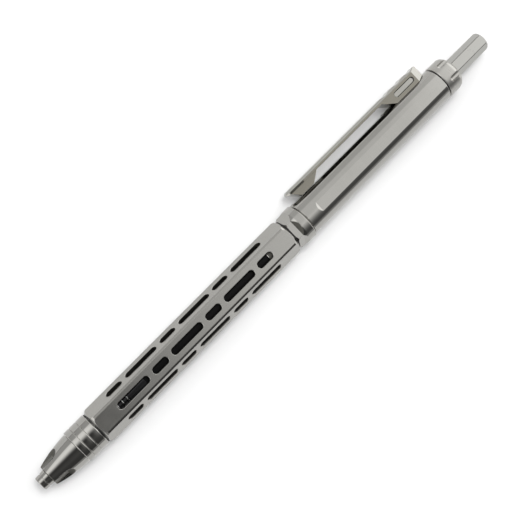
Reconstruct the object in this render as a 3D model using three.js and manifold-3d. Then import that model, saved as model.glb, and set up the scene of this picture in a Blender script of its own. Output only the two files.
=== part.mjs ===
// A titanium click pen that lies on a table, its writing end towards -X and its clip towards +Y.
// Millimetres, +Z up. The origin is on the table, below the middle of the pen's outline.
// Each piece is shaped on the pen's own axis: x is the distance behind the front of the nozzle, and a
// turn is an angle about that axis, in degrees from the +Z side towards the +Y side.
import * as THREE from "three";
import { mergeVertices } from "three/addons/utils/BufferGeometryUtils.js";
import Module from "manifold-3d";

const wasm = await Module();
wasm.setup();

// Clearances and facets
const runningGap = 0.1; // between a moving piece and what guides it
const seatGap = 0.05; // between two pieces that seat on each other
const overrun = 0.5; // how far a cutter runs past what it cuts
const outerFacets = 36; // sides of the round outside pieces
const innerFacets = 24; // sides of the round inside pieces
const arcSteps = 4; // steps in the round end of a slot
const sectorSteps = 4; // steps along one tooth of a ring

// Click stroke
const latchTravel = 4.6; // knock travel that is held while writing
const rampHeight = 1; // rise of the latch ramps on the guide's ribs
const clearTravel = 1.4; // further travel, in which the cam turns past the ramps
const stroke = latchTravel + rampHeight + clearTravel;

// Nozzle
const nozzleLength = 2.55;
const nozzleFrontRadius = 1.68;
const nozzleRearRadius = 1.86;
const nozzleChamfer = 0.14;
const nozzleBandLength = 1.2; // the front band, before the groove
const nozzleGrooveWidth = 0.2;
const nozzleGrooveDepth = 0.16;
const nozzleSpigotRadius = 1.6;
const nozzleSpigotLength = 2.2;

// Nose cone
const coneLength = 8.3;
const coneFrontRadius = 2.65;
const coneRearRadius = 3.94;
const coneFrontChamfer = 0.12;
const coneSteps = 6;
const coneCurvePower = 1.7;
const springChamberRadius = 2.3;
const springChamberLength = 4.2;
const threadRadius = 3.45; // of the nose's and the collar's spigots inside the grip
const noseSpigotLength = 5.15; // inside the grip
const fluteCount = 3;
const fluteTurn = 66.5;
const fluteRadius = 2.2; // of the ball-nosed cutter
const fluteFrontDepth = 0.2; // below the cone's surface at its front face
const fluteLength = 5.1;

// Nose ring
const ringLength = 5.75;
const ringRadius = 4.22;
const ringChamfer = 0.15;
const ringGrooveWidth = 0.24;
const ringGrooveDepth = 0.17;
const ringGrooveCount = 2;
const ringGrooveFirst = 1.6; // from the front of the ring
const ringGroovePitch = 1.9;

// Rubber rings in the joints between the long pieces
const sealGap = 0.3; // width of the joint that a ring fills
const sealDepth = 0.5;
const collarSealDepth = 0.25;

// Grip
const gripFlat = 4.07; // from the axis to a flat
const gripCornerRadius = 4.63;
const gripEndRadius = 3.9;
const gripEndChamfer = 0.73;
const gripCutFlat = 4.1; // from the axis to the flat cuts on the corners, at the grip's ends
const gripCutRise = 0.5; // how much further out those cuts are for each millimetre inwards
const gripBore = 3.1;
const gripRows = 6;
const slotFirst = 6.1; // from the front of the grip to the first slots
const slotLast = 6.25; // from the last slots to the rear of the grip
const slotWidth = 1.75;
const slotShort = 4.5;
const slotBridge = 1.35;
const slotPairs = 3;

// Collar between the grip and the barrel
const collarLength = 4.7;
const collarRadius = 4.57;
const collarNoseRadius = 4.33;
const collarFlat = 3.76; // from the axis to a spanner flat, so that they meet as a hexagon
const collarFlatLength = 1.55;
const collarFlatRamp = 0.95;
const collarNoseLength = 1.4;
const collarNoseRamp = 1.1;
const collarChamfer = 0.3;
const collarFlats = 6;
const collarFrontSpigot = 7.4;
const collarSpigotShare = 0.515; // of the way to the guide that the rear spigot reaches

// Barrel
const barrelLength = 46.6;
const barrelRadius = 4.27;
const barrelFlat = 4.07; // from the axis to the top flat and to the flat below the clip
const barrelBore = 3.55;
const barrelChamfer = 0.12;
const topFlatStart = 3.5; // from the front of the barrel
const topFlatTurn = -3;
const flatRamp = 0.6;
const clipFlatStart = 0.9;
const clipFlatGap = 4.1; // from the rear of that flat to the clip's foot

// End cap
const capLength = 4.7;
const capRadius = 4.3;
const capRound = 1.5;
const capRoundSteps = 4;
const capChamfer = 0.15;
const capSpigotLength = 5.3;
const capNotches = 6;
const capNotchRadius = 0.72; // of the ball-nosed cutter, which runs along the cap's surface
const capNotchLength = 3.4;
const capNotchTurn = 43;

// Knock rod
const rodCorner = 2.42; // from the axis to a corner of the hexagon
const rodShown = 11;
const rodRound = 0.9;
const rodRoundSteps = 3;
const rodTurn = 4;
const rodSides = 6;
const rodTailRadius = 1.5;
const rodTailLength = 7.2;

// Refill
const pointRecess = 1.6; // from the front of the nozzle to the ball while the point is in
const refillLength = 98.5;
const clickLength = 28.9; // from the refill's rear to the rear of the barrel
const ballRadius = 0.35;
const ballShown = 0.28; // how far the ball stands out of its seat
const ballSides = 12;
const ballRings = 8;
const ballGap = 0.03;
const pointLipRadius = 0.5;
const pointRadius = 1.15;
const pointTaper = 2.6;
const pointLength = 10.6;
const pointTailRadius = 0.9;
const pointTailLength = 3;
const neckRadius = 1.5;
const neckLength = 14;
const springSeatRadius = 2.05;
const noseTaper = 5;
const refillRadius = 2.85;
const refillWall = 0.35;
const noseTailLength = 4;
const inkBore = 0.45;
const plugLength = 2.6;
const plugTailLength = 3.4;
const plugNotches = 4;
const plugNotchWidth = 1.1;
const plugNotchDepth = 0.7;

// Return spring
const springWire = 0.4;
const springMeanRadius = 1.95;
const springTurns = 14.5;
const springSteps = 8; // in one turn
const springSides = 5;

// Click mechanism, with its angles in degrees
const channelRadius = 3.05; // inside the guide, between its ribs
const ribRadius = 2.45; // from the axis to the inner side of a rib
const ribCount = 4;
const ribOverlap = 0.1; // how far a rib roots in the guide's wall
const guideReach = 4.5; // from the refill's end to the front of the guide
const flangeLength = 1.9;
const camBore = 1.2;
const camLength = 6.45; // from its front face to the roots of its teeth
const camTeeth = 8;
const toothHeight = 1.2;
const camTurn = 22.5; // turn of the cam while the knock is pressed
const splineLength = 3.4;
const splineWidth = 12;
const splineSlack = 1.2; // between a spline and the side of its channel
const splineRoot = 0.45; // how far a spline roots in the cam

// Clip
const clipHalfWidth = 2.3;
const clipTop = 7.2; // from the axis
const clipArm = 1.1; // thickness of the arm
const clipTip = 1.05; // from the front of the barrel
const clipTipRound = 0.42;
const clipTipHalfWidth = 0.85;
const clipTipChamfer = 0.8; // length of the chamfers beside the tip
const clipShoulderHalfWidth = 1.62; // behind those chamfers
const clipTipTaper = 5;
const clipFootLength = 9.6; // of the foot, on the barrel
const clipFootSlant = 3.2;
const clipRearInset = 1.6; // from the clip's rear to the rear of the barrel
const clipRearChamfer = 2;
const clipRearNarrowing = 1.1; // on each side, over that chamfer
const clipEdgeChamfer = 0.32; // at the rear
const clipSideChamfer = 0.68; // of the long edges, down the side
const clipTopChamfer = 0.9; // of the long edges, across the top
const saddleGap = 0.06;
const padFront = 1.9; // from the front of the barrel to the pad, at the arm
const padFrontSlant = 1.9;
const padFoot = 3.8; // length of the pad's lower face
const padRearSlant = 2.8;
const padHalfWidth = 1.6;
const padGap = 0.12; // between the pad and the flat below it
const pocketInset = 0.7; // from the front of the foot
const pocketLength = 6.2;
const pocketWidth = 1.25;
const pocketDepth = 0.35;
const pocketHeight = 5.31; // from the axis to the pocket's middle
const scallopCount = 3;
const scallopLead = 0.8; // from the middle of the first dip to the front of the foot
const scallopPitch = 4.15;
const scallopRadius = 3.4;
const scallopDepth = 0.24;

// Screws that hold the clip from inside the barrel
const screwRadius = 0.8;
const screwHeadRadius = 1.3;
const screwHeadHeight = 0.55;
const screwLength = 2.6;
const screwSocketRadius = 0.5;
const screwSocketDepth = 0.35;
const screwSocketSides = 6;
const screwFacets = 16;
const screwInset = 2.7; // from the front of the clip's foot
const screwPitch = 4.2;

// Stations along the axis
const coneFront = nozzleLength;
const ringFront = coneFront + coneLength;
const gripFront = ringFront + ringLength + sealGap;
const refillRear = pointRecess + refillLength;
const barrelRear = refillRear + clickLength;
const barrelFront = barrelRear - barrelLength;
const collarFront = barrelFront - collarLength;
const gripRear = collarFront - sealGap;
const gripLength = gripRear - gripFront;
const clipRear = barrelRear - clipRearInset;
const clipFoot = clipRear - clipFootLength;
const capFront = barrelRear + sealGap;
const capRear = capFront + capLength;
const rodRear = capRear + rodShown;
const chamberFront = coneFront + nozzleSpigotLength + seatGap;
const pointRear = pointRecess + pointLength;
const springSeat = pointRear + neckLength;
const plugFront = refillRear - plugLength;
const camFront = refillRear + seatGap;
const camToothRoot = camFront + camLength;
const splineRear = camToothRoot + rampHeight / 2;
const ribFront = splineRear - latchTravel - rampHeight;
const capSpigotFront = capFront - capSpigotLength;
const guideRear = capSpigotFront - seatGap;
const guideFront = refillRear - guideReach;
const ribRear = guideRear - flangeLength - stroke - runningGap;
const toothPitch = 360 / camTeeth;
const crownToothRoot = camToothRoot + (toothHeight * camTurn) / toothPitch + seatGap;

// Sizes that follow from their neighbours
const slotRun = gripLength - slotFirst - slotLast - (2 * slotPairs - 1) * slotBridge;
const slotLong = slotRun / slotPairs - slotShort;
const collarRearSpigot = collarSpigotShare * (guideFront - barrelFront);
const threadBore = threadRadius + seatGap;
const refillBore = refillRadius + runningGap;
const spigotRadius = barrelBore - seatGap;
const camRadius = ribRadius - runningGap;
const splineRadius = channelRadius - runningGap;
const rodFlat = rodCorner * Math.cos(Math.PI / rodSides);
const degree = Math.PI / 180;

// Solids

// A closed geometry as a solid that can be cut and joined.
function solidOf(geometry) {
  const bare = geometry.clone();
  for (const name of ["normal", "uv"]) {
    bare.deleteAttribute(name);
  }
  const merged = mergeVertices(bare);
  const corners = merged.index.array;
  const faces = [];
  for (let i = 0; i < corners.length; i += 3) {
    const [a, b, c] = corners.slice(i, i + 3);
    if (a !== b && b !== c && c !== a) {
      faces.push(a, b, c);
    }
  }
  return solidFrom(merged.attributes.position.array, faces);
}

// A solid from a list of coordinates and a list of corners.
function solidFrom(points, faces) {
  const vertProperties = new Float32Array(points);
  const triVerts = new Uint32Array(faces);
  return new wasm.Manifold(new wasm.Mesh({ numProp: 3, vertProperties, triVerts }));
}

// The geometry of a finished solid.
function geometryOf(solid) {
  const mesh = solid.getMesh();
  const geometry = new THREE.BufferGeometry();
  geometry.setAttribute("position", new THREE.BufferAttribute(new Float32Array(mesh.vertProperties), 3));
  geometry.setIndex(new THREE.BufferAttribute(new Uint32Array(mesh.triVerts), 1));
  geometry.computeVertexNormals();
  return geometry;
}

// A round body about the pen's axis. Its profile is a list of [x, radius], rearwards along the outside
// and forwards along the bore.
function revolve(profile, facets = innerFacets) {
  const points = profile.map(([x, radius]) => new THREE.Vector2(radius, x));
  if (profile[0][1] > 0) {
    points.push(points[0].clone());
  }
  return solidOf(new THREE.LatheGeometry(points, facets).rotateZ(-90 * degree));
}

// A plain round bar between two stations.
function bar(front, rear, radius, facets = innerFacets) {
  return revolve([[front, 0], [front, radius], [rear, radius], [rear, 0]], facets);
}

// A bar with flat sides, one of which faces the turn.
function prism(front, rear, flat, sides, turn) {
  const corner = flat / Math.cos(Math.PI / sides);
  const start = Math.PI / sides - turn * degree;
  const geometry = new THREE.CylinderGeometry(corner, corner, rear - front, sides, 1, false, start);
  return solidOf(geometry.rotateZ(-90 * degree).translate((front + rear) / 2, 0, 0));
}

// The same with another size at its rear.
function taper(front, rear, frontFlat, rearFlat, sides, turn) {
  const share = Math.cos(Math.PI / sides);
  const start = Math.PI / sides - turn * degree;
  const [wide, narrow] = [rearFlat / share, frontFlat / share];
  const geometry = new THREE.CylinderGeometry(wide, narrow, rear - front, sides, 1, false, start);
  return solidOf(geometry.rotateZ(-90 * degree).translate((front + rear) / 2, 0, 0));
}

// An outline in x and y, pushed from z = low to z = high.
function plate(outline, low, high) {
  const shape = new THREE.Shape(outline.map(([x, y]) => new THREE.Vector2(x, y)));
  const geometry = new THREE.ExtrudeGeometry(shape, { depth: high - low, bevelEnabled: false });
  return solidOf(geometry.translate(0, 0, low));
}

// A slot with round ends that runs along the pen, from z = low to z = high.
function slotCutter(front, rear, width, low, high) {
  const half = width / 2;
  const shape = new THREE.Shape();
  shape.absarc(rear - half, 0, half, -Math.PI / 2, Math.PI / 2);
  shape.absarc(front + half, 0, half, Math.PI / 2, 1.5 * Math.PI);
  const options = { depth: high - low, bevelEnabled: false, curveSegments: arcSteps };
  return solidOf(new THREE.ExtrudeGeometry(shape, options).translate(0, 0, low));
}

// A quarter round, as [x, radius] places, from the full radius to the rear end.
function roundedEnd(rear, radius, round, steps) {
  const places = [];
  for (let step = 0; step <= steps; step++) {
    const angle = (90 * degree * step) / steps;
    places.push([rear - round * (1 - Math.sin(angle)), radius - round * (1 - Math.cos(angle))]);
  }
  return places;
}

// A ball-nosed cutter that lies along the pen. Its round end faces +X and ends at x = 0.
function ballNosed(length, radius) {
  return revolve([[-length, 0], [-length, radius], ...roundedEnd(0, radius, radius, arcSteps)]);
}

// The same solid, turned about the pen's axis from +Z towards +Y.
function turned(solid, turn) {
  return solid.rotate([-turn, 0, 0]);
}

// Copies of a solid, spaced evenly about the pen's axis.
function around(solid, count, firstTurn) {
  const copies = [];
  for (let i = 0; i < count; i++) {
    copies.push(turned(solid, firstTurn + (360 * i) / count));
  }
  return copies;
}

function cut(solid, cutters) {
  return cutters.reduce((rest, cutter) => rest.subtract(cutter), solid);
}

function joined(solids) {
  return solids.reduce((whole, solid) => whole.add(solid));
}

// What a milled flat takes off the +Z side, from its ramp to its rear end.
function flatCutter(front, ramp, rear, flat, radius) {
  const reach = radius + overrun;
  const rampStart = front - (ramp * overrun) / (radius - flat);
  const side = [[rampStart, reach], [front + ramp, flat], [rear, flat], [rear, reach]];
  return plate(side, -reach, reach).rotate([90, 0, 0]);
}

// A part of a ring between two angles, which go about +X from +Y towards +Z. One end is flat, and the
// other climbs from slopeStart to slopeEnd.
function sector(inner, outer, from, to, flatEnd, slopeStart, slopeEnd) {
  const points = [];
  for (let i = 0; i <= sectorSteps; i++) {
    const share = i / sectorSteps;
    const angle = ((360 + from + (to - from) * share) % 360) * degree;
    for (const x of [flatEnd, slopeStart + (slopeEnd - slopeStart) * share]) {
      for (const radius of [inner, outer]) {
        points.push(x, radius * Math.cos(angle), radius * Math.sin(angle));
      }
    }
  }
  const faces = [];
  const quad = (a, b, c, d) => faces.push(a, b, c, a, c, d);
  for (let here = 0; here < 4 * sectorSteps; here += 4) {
    const next = here + 4;
    quad(here + 1, next + 1, next + 3, here + 3);
    quad(here + 2, next + 2, next, here);
    quad(here, next, next + 1, here + 1);
    quad(here + 3, next + 3, next + 2, here + 2);
  }
  const last = 4 * sectorSteps;
  quad(0, 1, 3, 2);
  quad(last + 2, last + 3, last + 1, last);
  if (slopeStart < flatEnd) {
    faces.reverse();
  }
  return solidFrom(points, faces);
}

// A tube whose end carries one saw tooth after another. The first tooth starts at the phase.
function toothedTube(inner, outer, flatEnd, root, phase) {
  const teeth = [];
  for (let i = 0; i < camTeeth; i++) {
    const from = phase + i * toothPitch;
    teeth.push(sector(inner, outer, from, from + toothPitch, flatEnd, root, root + toothHeight));
  }
  return joined(teeth);
}

// Nose

function nozzleTip() {
  const groove = nozzleBandLength;
  const grooveRear = groove + nozzleGrooveWidth;
  const middle = (nozzleFrontRadius + nozzleRearRadius) / 2;
  const bore = pointRadius + runningGap;
  return revolve([
    [0, nozzleFrontRadius - nozzleChamfer],
    [nozzleChamfer, nozzleFrontRadius],
    [groove, middle],
    [groove, middle - nozzleGrooveDepth],
    [grooveRear, middle - nozzleGrooveDepth],
    [grooveRear, middle],
    [coneFront - seatGap, nozzleRearRadius],
    [coneFront - seatGap, nozzleSpigotRadius],
    [coneFront + nozzleSpigotLength, nozzleSpigotRadius],
    [coneFront + nozzleSpigotLength, bore],
    [0, bore],
  ], outerFacets);
}

// Radius of the nose cone's outside at a share of its length.
function ogive(share) {
  return coneRearRadius - (coneRearRadius - coneFrontRadius) * (1 - share) ** coneCurvePower;
}

function noseCone() {
  const outside = [[coneFront, coneFrontRadius - coneFrontChamfer]];
  for (let step = 0; step <= coneSteps; step++) {
    const x = coneFront + coneFrontChamfer + ((coneLength - coneFrontChamfer) * step) / coneSteps;
    outside.push([x, ogive(step / coneSteps)]);
  }
  const rear = gripFront + noseSpigotLength;
  const chamberRear = chamberFront + springChamberLength;
  const seat = nozzleSpigotRadius + seatGap;
  const body = revolve([
    ...outside,
    [ringFront, threadRadius],
    [rear, threadRadius],
    [rear, refillBore],
    [chamberRear, refillBore],
    [chamberRear, springChamberRadius],
    [chamberFront, springChamberRadius],
    [chamberFront, seat],
    [coneFront, seat],
  ], outerFacets);
  const cutterHeight = coneFrontRadius - fluteFrontDepth + fluteRadius;
  const cutter = ballNosed(fluteLength + overrun, fluteRadius);
  const flute = cutter.translate([coneFront + fluteLength, 0, cutterHeight]);
  return cut(body, around(flute, fluteCount, fluteTurn));
}

function noseRing() {
  const front = ringFront + seatGap;
  const rear = ringFront + ringLength;
  const bore = threadRadius + seatGap;
  const outside = [[front, ringRadius - ringChamfer], [front + ringChamfer, ringRadius]];
  for (let i = 0; i < ringGrooveCount; i++) {
    const middle = front + ringGrooveFirst + i * ringGroovePitch;
    outside.push([middle - ringGrooveWidth / 2, ringRadius]);
    outside.push([middle, ringRadius - ringGrooveDepth]);
    outside.push([middle + ringGrooveWidth / 2, ringRadius]);
  }
  outside.push([rear - ringChamfer, ringRadius], [rear, ringRadius - ringChamfer]);
  return revolve([...outside, [rear, bore], [front, bore]], outerFacets);
}

// A rubber ring that fills the joint behind the given station, round a spigot.
function sealRing(front, spigot, depth = sealDepth) {
  const half = sealGap / 2 - seatGap;
  const middle = front + sealGap / 2;
  const inner = spigot + seatGap;
  return revolve([
    [middle - half, inner],
    [middle - half, inner + depth],
    [middle + half, inner + depth],
    [middle + half, inner],
  ], outerFacets);
}

// Grip

// Front and rear of each slot in one row. Rows start in turn with a long and a short slot.
function slotPlaces(startsLong) {
  const places = [];
  let front = gripFront + slotFirst;
  for (let i = 0; i < 2 * slotPairs; i++) {
    const isLong = (i % 2 === 0) === startsLong;
    const rear = front + (isLong ? slotLong : slotShort);
    places.push([front, rear]);
    front = rear + slotBridge;
  }
  return places;
}

function gripBarrel() {
  const round = revolve([
    [gripFront, 0],
    [gripFront, gripEndRadius],
    [gripFront + gripEndChamfer, gripCornerRadius],
    [gripRear - gripEndChamfer, gripCornerRadius],
    [gripRear, gripEndRadius],
    [gripRear, 0],
  ], outerFacets);
  const hexagon = prism(gripFront - overrun, gripRear + overrun, gripFlat, gripRows, 0);
  const frontThread = gripFront + noseSpigotLength + seatGap;
  const rearThread = gripRear - collarFrontSpigot - seatGap;
  const bore = revolve([
    [gripFront - overrun, 0],
    [gripFront - overrun, threadBore],
    [frontThread, threadBore],
    [frontThread, gripBore],
    [rearThread, gripBore],
    [rearThread, threadBore],
    [gripRear + overrun, threadBore],
    [gripRear + overrun, 0],
  ], outerFacets);
  const slots = [];
  for (let row = 0; row < gripRows; row++) {
    for (const [front, rear] of slotPlaces(row % 2 === 0)) {
      const slot = slotCutter(front, rear, slotWidth, gripBore / 2, gripFlat + overrun);
      slots.push(turned(slot, (360 * row) / gripRows));
    }
  }
  const [front, rear] = [gripFront - overrun, gripRear + overrun];
  const near = gripCutFlat - gripCutRise * overrun;
  const far = near + gripCutRise * (rear - front);
  const cornerTurn = 180 / gripRows;
  const frontCuts = taper(front, rear, near, far, gripRows, cornerTurn);
  const rearCuts = taper(front, rear, far, near, gripRows, cornerTurn);
  const body = round.intersect(hexagon).intersect(frontCuts).intersect(rearCuts);
  return cut(body, [bore, ...slots]);
}

// Collar

function jointCollar() {
  const rear = barrelFront - seatGap;
  const spigotFront = gripRear - collarFrontSpigot;
  const noseRear = collarFront + collarNoseLength;
  const body = revolve([
    [spigotFront, threadRadius],
    [collarFront, threadRadius],
    [collarFront, collarNoseRadius - collarChamfer],
    [collarFront + collarChamfer, collarNoseRadius],
    [noseRear, collarNoseRadius],
    [noseRear + collarNoseRamp, collarRadius],
    [rear - collarChamfer, collarRadius],
    [rear, collarRadius - collarChamfer],
    [rear, spigotRadius],
    [barrelFront + collarRearSpigot, spigotRadius],
    [barrelFront + collarRearSpigot, refillBore],
    [spigotFront, refillBore],
  ], outerFacets);
  const flatRear = collarFront + collarFlatLength;
  const reach = collarRadius + overrun;
  const steepness = collarFlatRamp / (collarRadius - collarFlat);
  const side = [
    [collarFront - overrun, collarFlat],
    [flatRear, collarFlat],
    [flatRear + steepness * (reach - collarFlat), reach],
    [collarFront - overrun, reach],
  ];
  const flat = plate(side, -reach, reach).rotate([90, 0, 0]);
  return cut(body, around(flat, collarFlats, 0));
}

// Barrel

// A countersunk hole for a clip screw, from the barrel's bore outwards to +Y.
function screwHole(x) {
  const head = screwHeadRadius + seatGap;
  const shank = screwRadius + seatGap;
  const headRear = barrelBore + seatGap + screwHeadHeight;
  const end = barrelBore + screwLength + 2 * seatGap;
  const places = [
    [barrelBore - overrun, 0],
    [barrelBore - overrun, head],
    [barrelBore + seatGap, head],
    [headRear, shank],
    [end, shank],
    [end, 0],
  ];
  const points = places.map(([y, radius]) => new THREE.Vector2(radius, y));
  return solidOf(new THREE.LatheGeometry(points, screwFacets).translate(x, 0, 0));
}

// Where the clip screws stand, along the axis.
const screwStations = [0, 1].map((i) => clipFoot + screwInset + i * screwPitch);

function upperBarrel() {
  const body = revolve([
    [barrelFront, barrelRadius - barrelChamfer],
    [barrelFront + barrelChamfer, barrelRadius],
    [barrelRear - barrelChamfer, barrelRadius],
    [barrelRear, barrelRadius - barrelChamfer],
    [barrelRear, barrelBore],
    [barrelFront, barrelBore],
  ], outerFacets);
  const topFront = barrelFront + topFlatStart;
  const topFlat = flatCutter(topFront, flatRamp, barrelRear + overrun, barrelFlat, barrelRadius);
  const sideFront = barrelFront + clipFlatStart;
  const sideRear = clipFoot - clipFlatGap;
  const sideFlat = flatCutter(sideFront, flatRamp, sideRear, barrelFlat, barrelRadius);
  return cut(body, [turned(topFlat, topFlatTurn), turned(sideFlat, 90), ...screwStations.map(screwHole)]);
}

function clipScrew(x) {
  const front = barrelBore + seatGap;
  const places = [
    [front, 0],
    [front, screwHeadRadius],
    [front + screwHeadHeight, screwRadius],
    [front + screwLength, screwRadius],
    [front + screwLength, 0],
  ];
  const points = places.map(([y, radius]) => new THREE.Vector2(radius, y));
  const body = solidOf(new THREE.LatheGeometry(points, screwFacets));
  const depth = 2 * screwSocketDepth;
  const socket = new THREE.CylinderGeometry(screwSocketRadius, screwSocketRadius, depth, screwSocketSides);
  return body.subtract(solidOf(socket.translate(0, front, 0))).translate([x, 0, 0]);
}

// Clip

function clip() {
  const tip = barrelFront + clipTip;
  const under = clipTop - clipArm;
  const footBottom = Math.sqrt(barrelRadius ** 2 - clipHalfWidth ** 2);
  const side = plate([
    [tip, under + clipTipRound],
    [tip + clipTipRound, under],
    [clipFoot - clipFootSlant, under],
    [clipFoot, footBottom],
    [clipRear, footBottom],
    [clipRear, clipTop - clipEdgeChamfer],
    [clipRear - clipEdgeChamfer, clipTop],
    [tip + clipTipRound, clipTop],
    [tip, clipTop - clipTipRound],
  ], -clipHalfWidth, clipHalfWidth);
  const taperRear = tip + clipTipTaper;
  const chamferFront = clipRear - clipRearChamfer;
  const rearHalfWidth = clipHalfWidth - clipRearNarrowing;
  const plan = plate([
    [tip, -clipTipHalfWidth],
    [tip + clipTipChamfer, -clipShoulderHalfWidth],
    [taperRear, -clipHalfWidth],
    [chamferFront, -clipHalfWidth],
    [clipRear, -rearHalfWidth],
    [clipRear, rearHalfWidth],
    [chamferFront, clipHalfWidth],
    [taperRear, clipHalfWidth],
    [tip + clipTipChamfer, clipShoulderHalfWidth],
    [tip, clipTipHalfWidth],
  ], 0, clipTop + overrun).rotate([-90, 0, 0]);
  const section = plate([
    [-clipHalfWidth, 0],
    [clipHalfWidth, 0],
    [clipHalfWidth, clipTop - clipSideChamfer],
    [clipHalfWidth - clipTopChamfer, clipTop],
    [clipTopChamfer - clipHalfWidth, clipTop],
    [-clipHalfWidth, clipTop - clipSideChamfer],
  ], tip - overrun, clipRear + overrun).rotate([0, 90, 0]);
  const padStart = barrelFront + padFront;
  const padBottom = barrelFlat + padGap;
  const root = under + clipArm / 2;
  const footFront = padStart + padFrontSlant;
  const pad = plate([
    [padStart, root],
    [padStart, under],
    [footFront, padBottom],
    [footFront + padFoot, padBottom],
    [footFront + padFoot + padRearSlant, under],
    [footFront + padFoot + padRearSlant, root],
  ], -padHalfWidth, padHalfWidth);
  const saddleFront = clipFoot - clipFootSlant - overrun;
  const saddle = bar(saddleFront, clipRear + overrun, barrelRadius + saddleGap, outerFacets);
  const body = side.intersect(plan).intersect(section).add(pad);
  return cut(body, [saddle, ...clipPockets(), ...thumbScallops(), ...screwStations.map(screwHole)]);
}

// The long pocket on each side of the clip's foot.
function clipPockets() {
  const front = clipFoot + pocketInset;
  const floor = clipHalfWidth - pocketDepth;
  const high = clipHalfWidth + overrun;
  const ranges = [[floor, high], [-high, -floor]];
  return ranges.map(([low, top]) =>
    slotCutter(front, front + pocketLength, pocketWidth, low, top).translate([0, pocketHeight, 0]),
  );
}

// Shallow dips across the clip above its foot.
function thumbScallops() {
  const roller = bar(-clipHalfWidth - overrun, clipHalfWidth + overrun, scallopRadius, outerFacets);
  const across = roller.rotate([0, 90, 0]);
  const dips = [];
  for (let i = 0; i < scallopCount; i++) {
    const x = clipFoot - scallopLead + i * scallopPitch;
    dips.push(across.translate([x, clipTop + scallopRadius - scallopDepth, 0]));
  }
  return dips;
}

// End cap and knock

function endCap() {
  const body = revolve([
    [capSpigotFront, 0],
    [capSpigotFront, spigotRadius],
    [capFront, spigotRadius],
    [capFront, capRadius - capChamfer],
    [capFront + capChamfer, capRadius],
    ...roundedEnd(capRear, capRadius, capRound, capRoundSteps),
    [capRear, 0],
  ], outerFacets);
  const hole = prism(capSpigotFront - overrun, capRear + overrun, rodFlat + runningGap, rodSides, rodTurn);
  const cutter = ballNosed(capNotchLength + overrun, capNotchRadius).rotate([0, 180, 0]);
  const notch = cutter.translate([capRear - capNotchLength, 0, capRadius]);
  return cut(body, [hole, ...around(notch, capNotches, capNotchTurn)]);
}

function knockRod() {
  const front = guideRear + seatGap;
  const ends = roundedEnd(rodRear, rodCorner, rodRound, rodRoundSteps);
  const round = revolve([[front, 0], [front, rodCorner], ...ends, [rodRear, 0]], outerFacets);
  const hexagon = prism(front - overrun, rodRear + overrun, rodFlat, rodSides, rodTurn);
  const tail = bar(front - rodTailLength, front + rodTailRadius, rodTailRadius);
  return round.intersect(hexagon).add(tail);
}

// The plunger at the rod's front end, whose teeth push the cam.
function thrustCrown() {
  const hole = rodTailRadius + seatGap;
  const tube = toothedTube(camBore, camRadius, guideRear, crownToothRoot, 0);
  const flange = revolve([
    [guideRear - flangeLength, camBore],
    [guideRear - flangeLength, splineRadius],
    [guideRear, splineRadius],
    [guideRear, camBore],
  ]);
  const tailSeat = bar(guideRear - rodTailLength, guideRear + overrun, hole);
  return tube.add(flange).subtract(tailSeat);
}

// Cam and guide

function rotaryCam() {
  const tube = toothedTube(camBore, camRadius, camFront, camToothRoot, -camTurn);
  const slopeStart = splineRear - (rampHeight * splineWidth) / toothPitch;
  const splines = [];
  for (let i = 0; i < ribCount; i++) {
    const middle = (360 * i) / ribCount;
    const from = middle - splineWidth / 2;
    const front = splineRear - splineLength;
    const inner = camRadius - splineRoot;
    splines.push(sector(inner, splineRadius, from, from + splineWidth, front, slopeStart, splineRear));
  }
  return joined([tube, ...splines]);
}

// The sleeve that guides the cam. Each rib's front end has two ramps: the first ends in the notch that
// holds the point out, and the second leads a spline into the next channel.
function guideSleeve() {
  const wall = revolve([
    [guideFront, spigotRadius],
    [guideRear, spigotRadius],
    [guideRear, channelRadius],
    [guideFront, channelRadius],
  ], outerFacets);
  const turnInChannel = (camTurn * (latchTravel + rampHeight)) / stroke;
  const ribs = [];
  for (let i = 0; i < ribCount; i++) {
    const channel = (360 * i) / ribCount;
    const from = channel + splineWidth / 2 + turnInChannel + splineSlack;
    const notch = channel + toothPitch + splineWidth / 2 + splineSlack;
    const to = channel + 360 / ribCount - splineWidth / 2 - splineSlack;
    for (const [start, end] of [[from, notch], [notch, to]]) {
      const outer = channelRadius + ribOverlap;
      ribs.push(sector(ribRadius, outer, start, end, ribRear, ribFront, ribFront + rampHeight));
    }
  }
  return joined([wall, ...ribs]);
}

// Refill

function refillPoint() {
  const lip = pointRecess + ballShown;
  const socket = ballRadius + ballGap;
  const socketEnd = pointRecess + 2 * ballRadius + ballGap;
  return revolve([
    [socketEnd, 0],
    [socketEnd, socket],
    [lip, socket],
    [lip, pointLipRadius],
    [pointRecess + pointTaper, pointRadius],
    [pointRear, pointRadius],
    [pointRear, pointTailRadius],
    [pointRear + pointTailLength, pointTailRadius],
    [pointRear + pointTailLength, 0],
  ]);
}

function refillBall() {
  const ball = new THREE.SphereGeometry(ballRadius, ballSides, ballRings);
  return solidOf(ball.translate(pointRecess + ballRadius, 0, 0));
}

function refillNose() {
  const front = pointRear + seatGap;
  const coneRear = springSeat + noseTaper;
  const tail = refillRadius - refillWall - seatGap;
  const seat = pointTailRadius + seatGap;
  const seatEnd = pointRear + pointTailLength + seatGap;
  return revolve([
    [front, neckRadius],
    [springSeat, neckRadius],
    [springSeat, springSeatRadius],
    [coneRear, refillRadius],
    [coneRear, tail],
    [coneRear + noseTailLength, tail],
    [coneRear + noseTailLength, inkBore],
    [seatEnd, inkBore],
    [seatEnd, seat],
    [front, seat],
  ]);
}

function refillTube() {
  const front = springSeat + noseTaper + seatGap;
  const bore = refillRadius - refillWall;
  return revolve([[front, refillRadius], [plugFront, refillRadius], [plugFront, bore], [front, bore]]);
}

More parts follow.
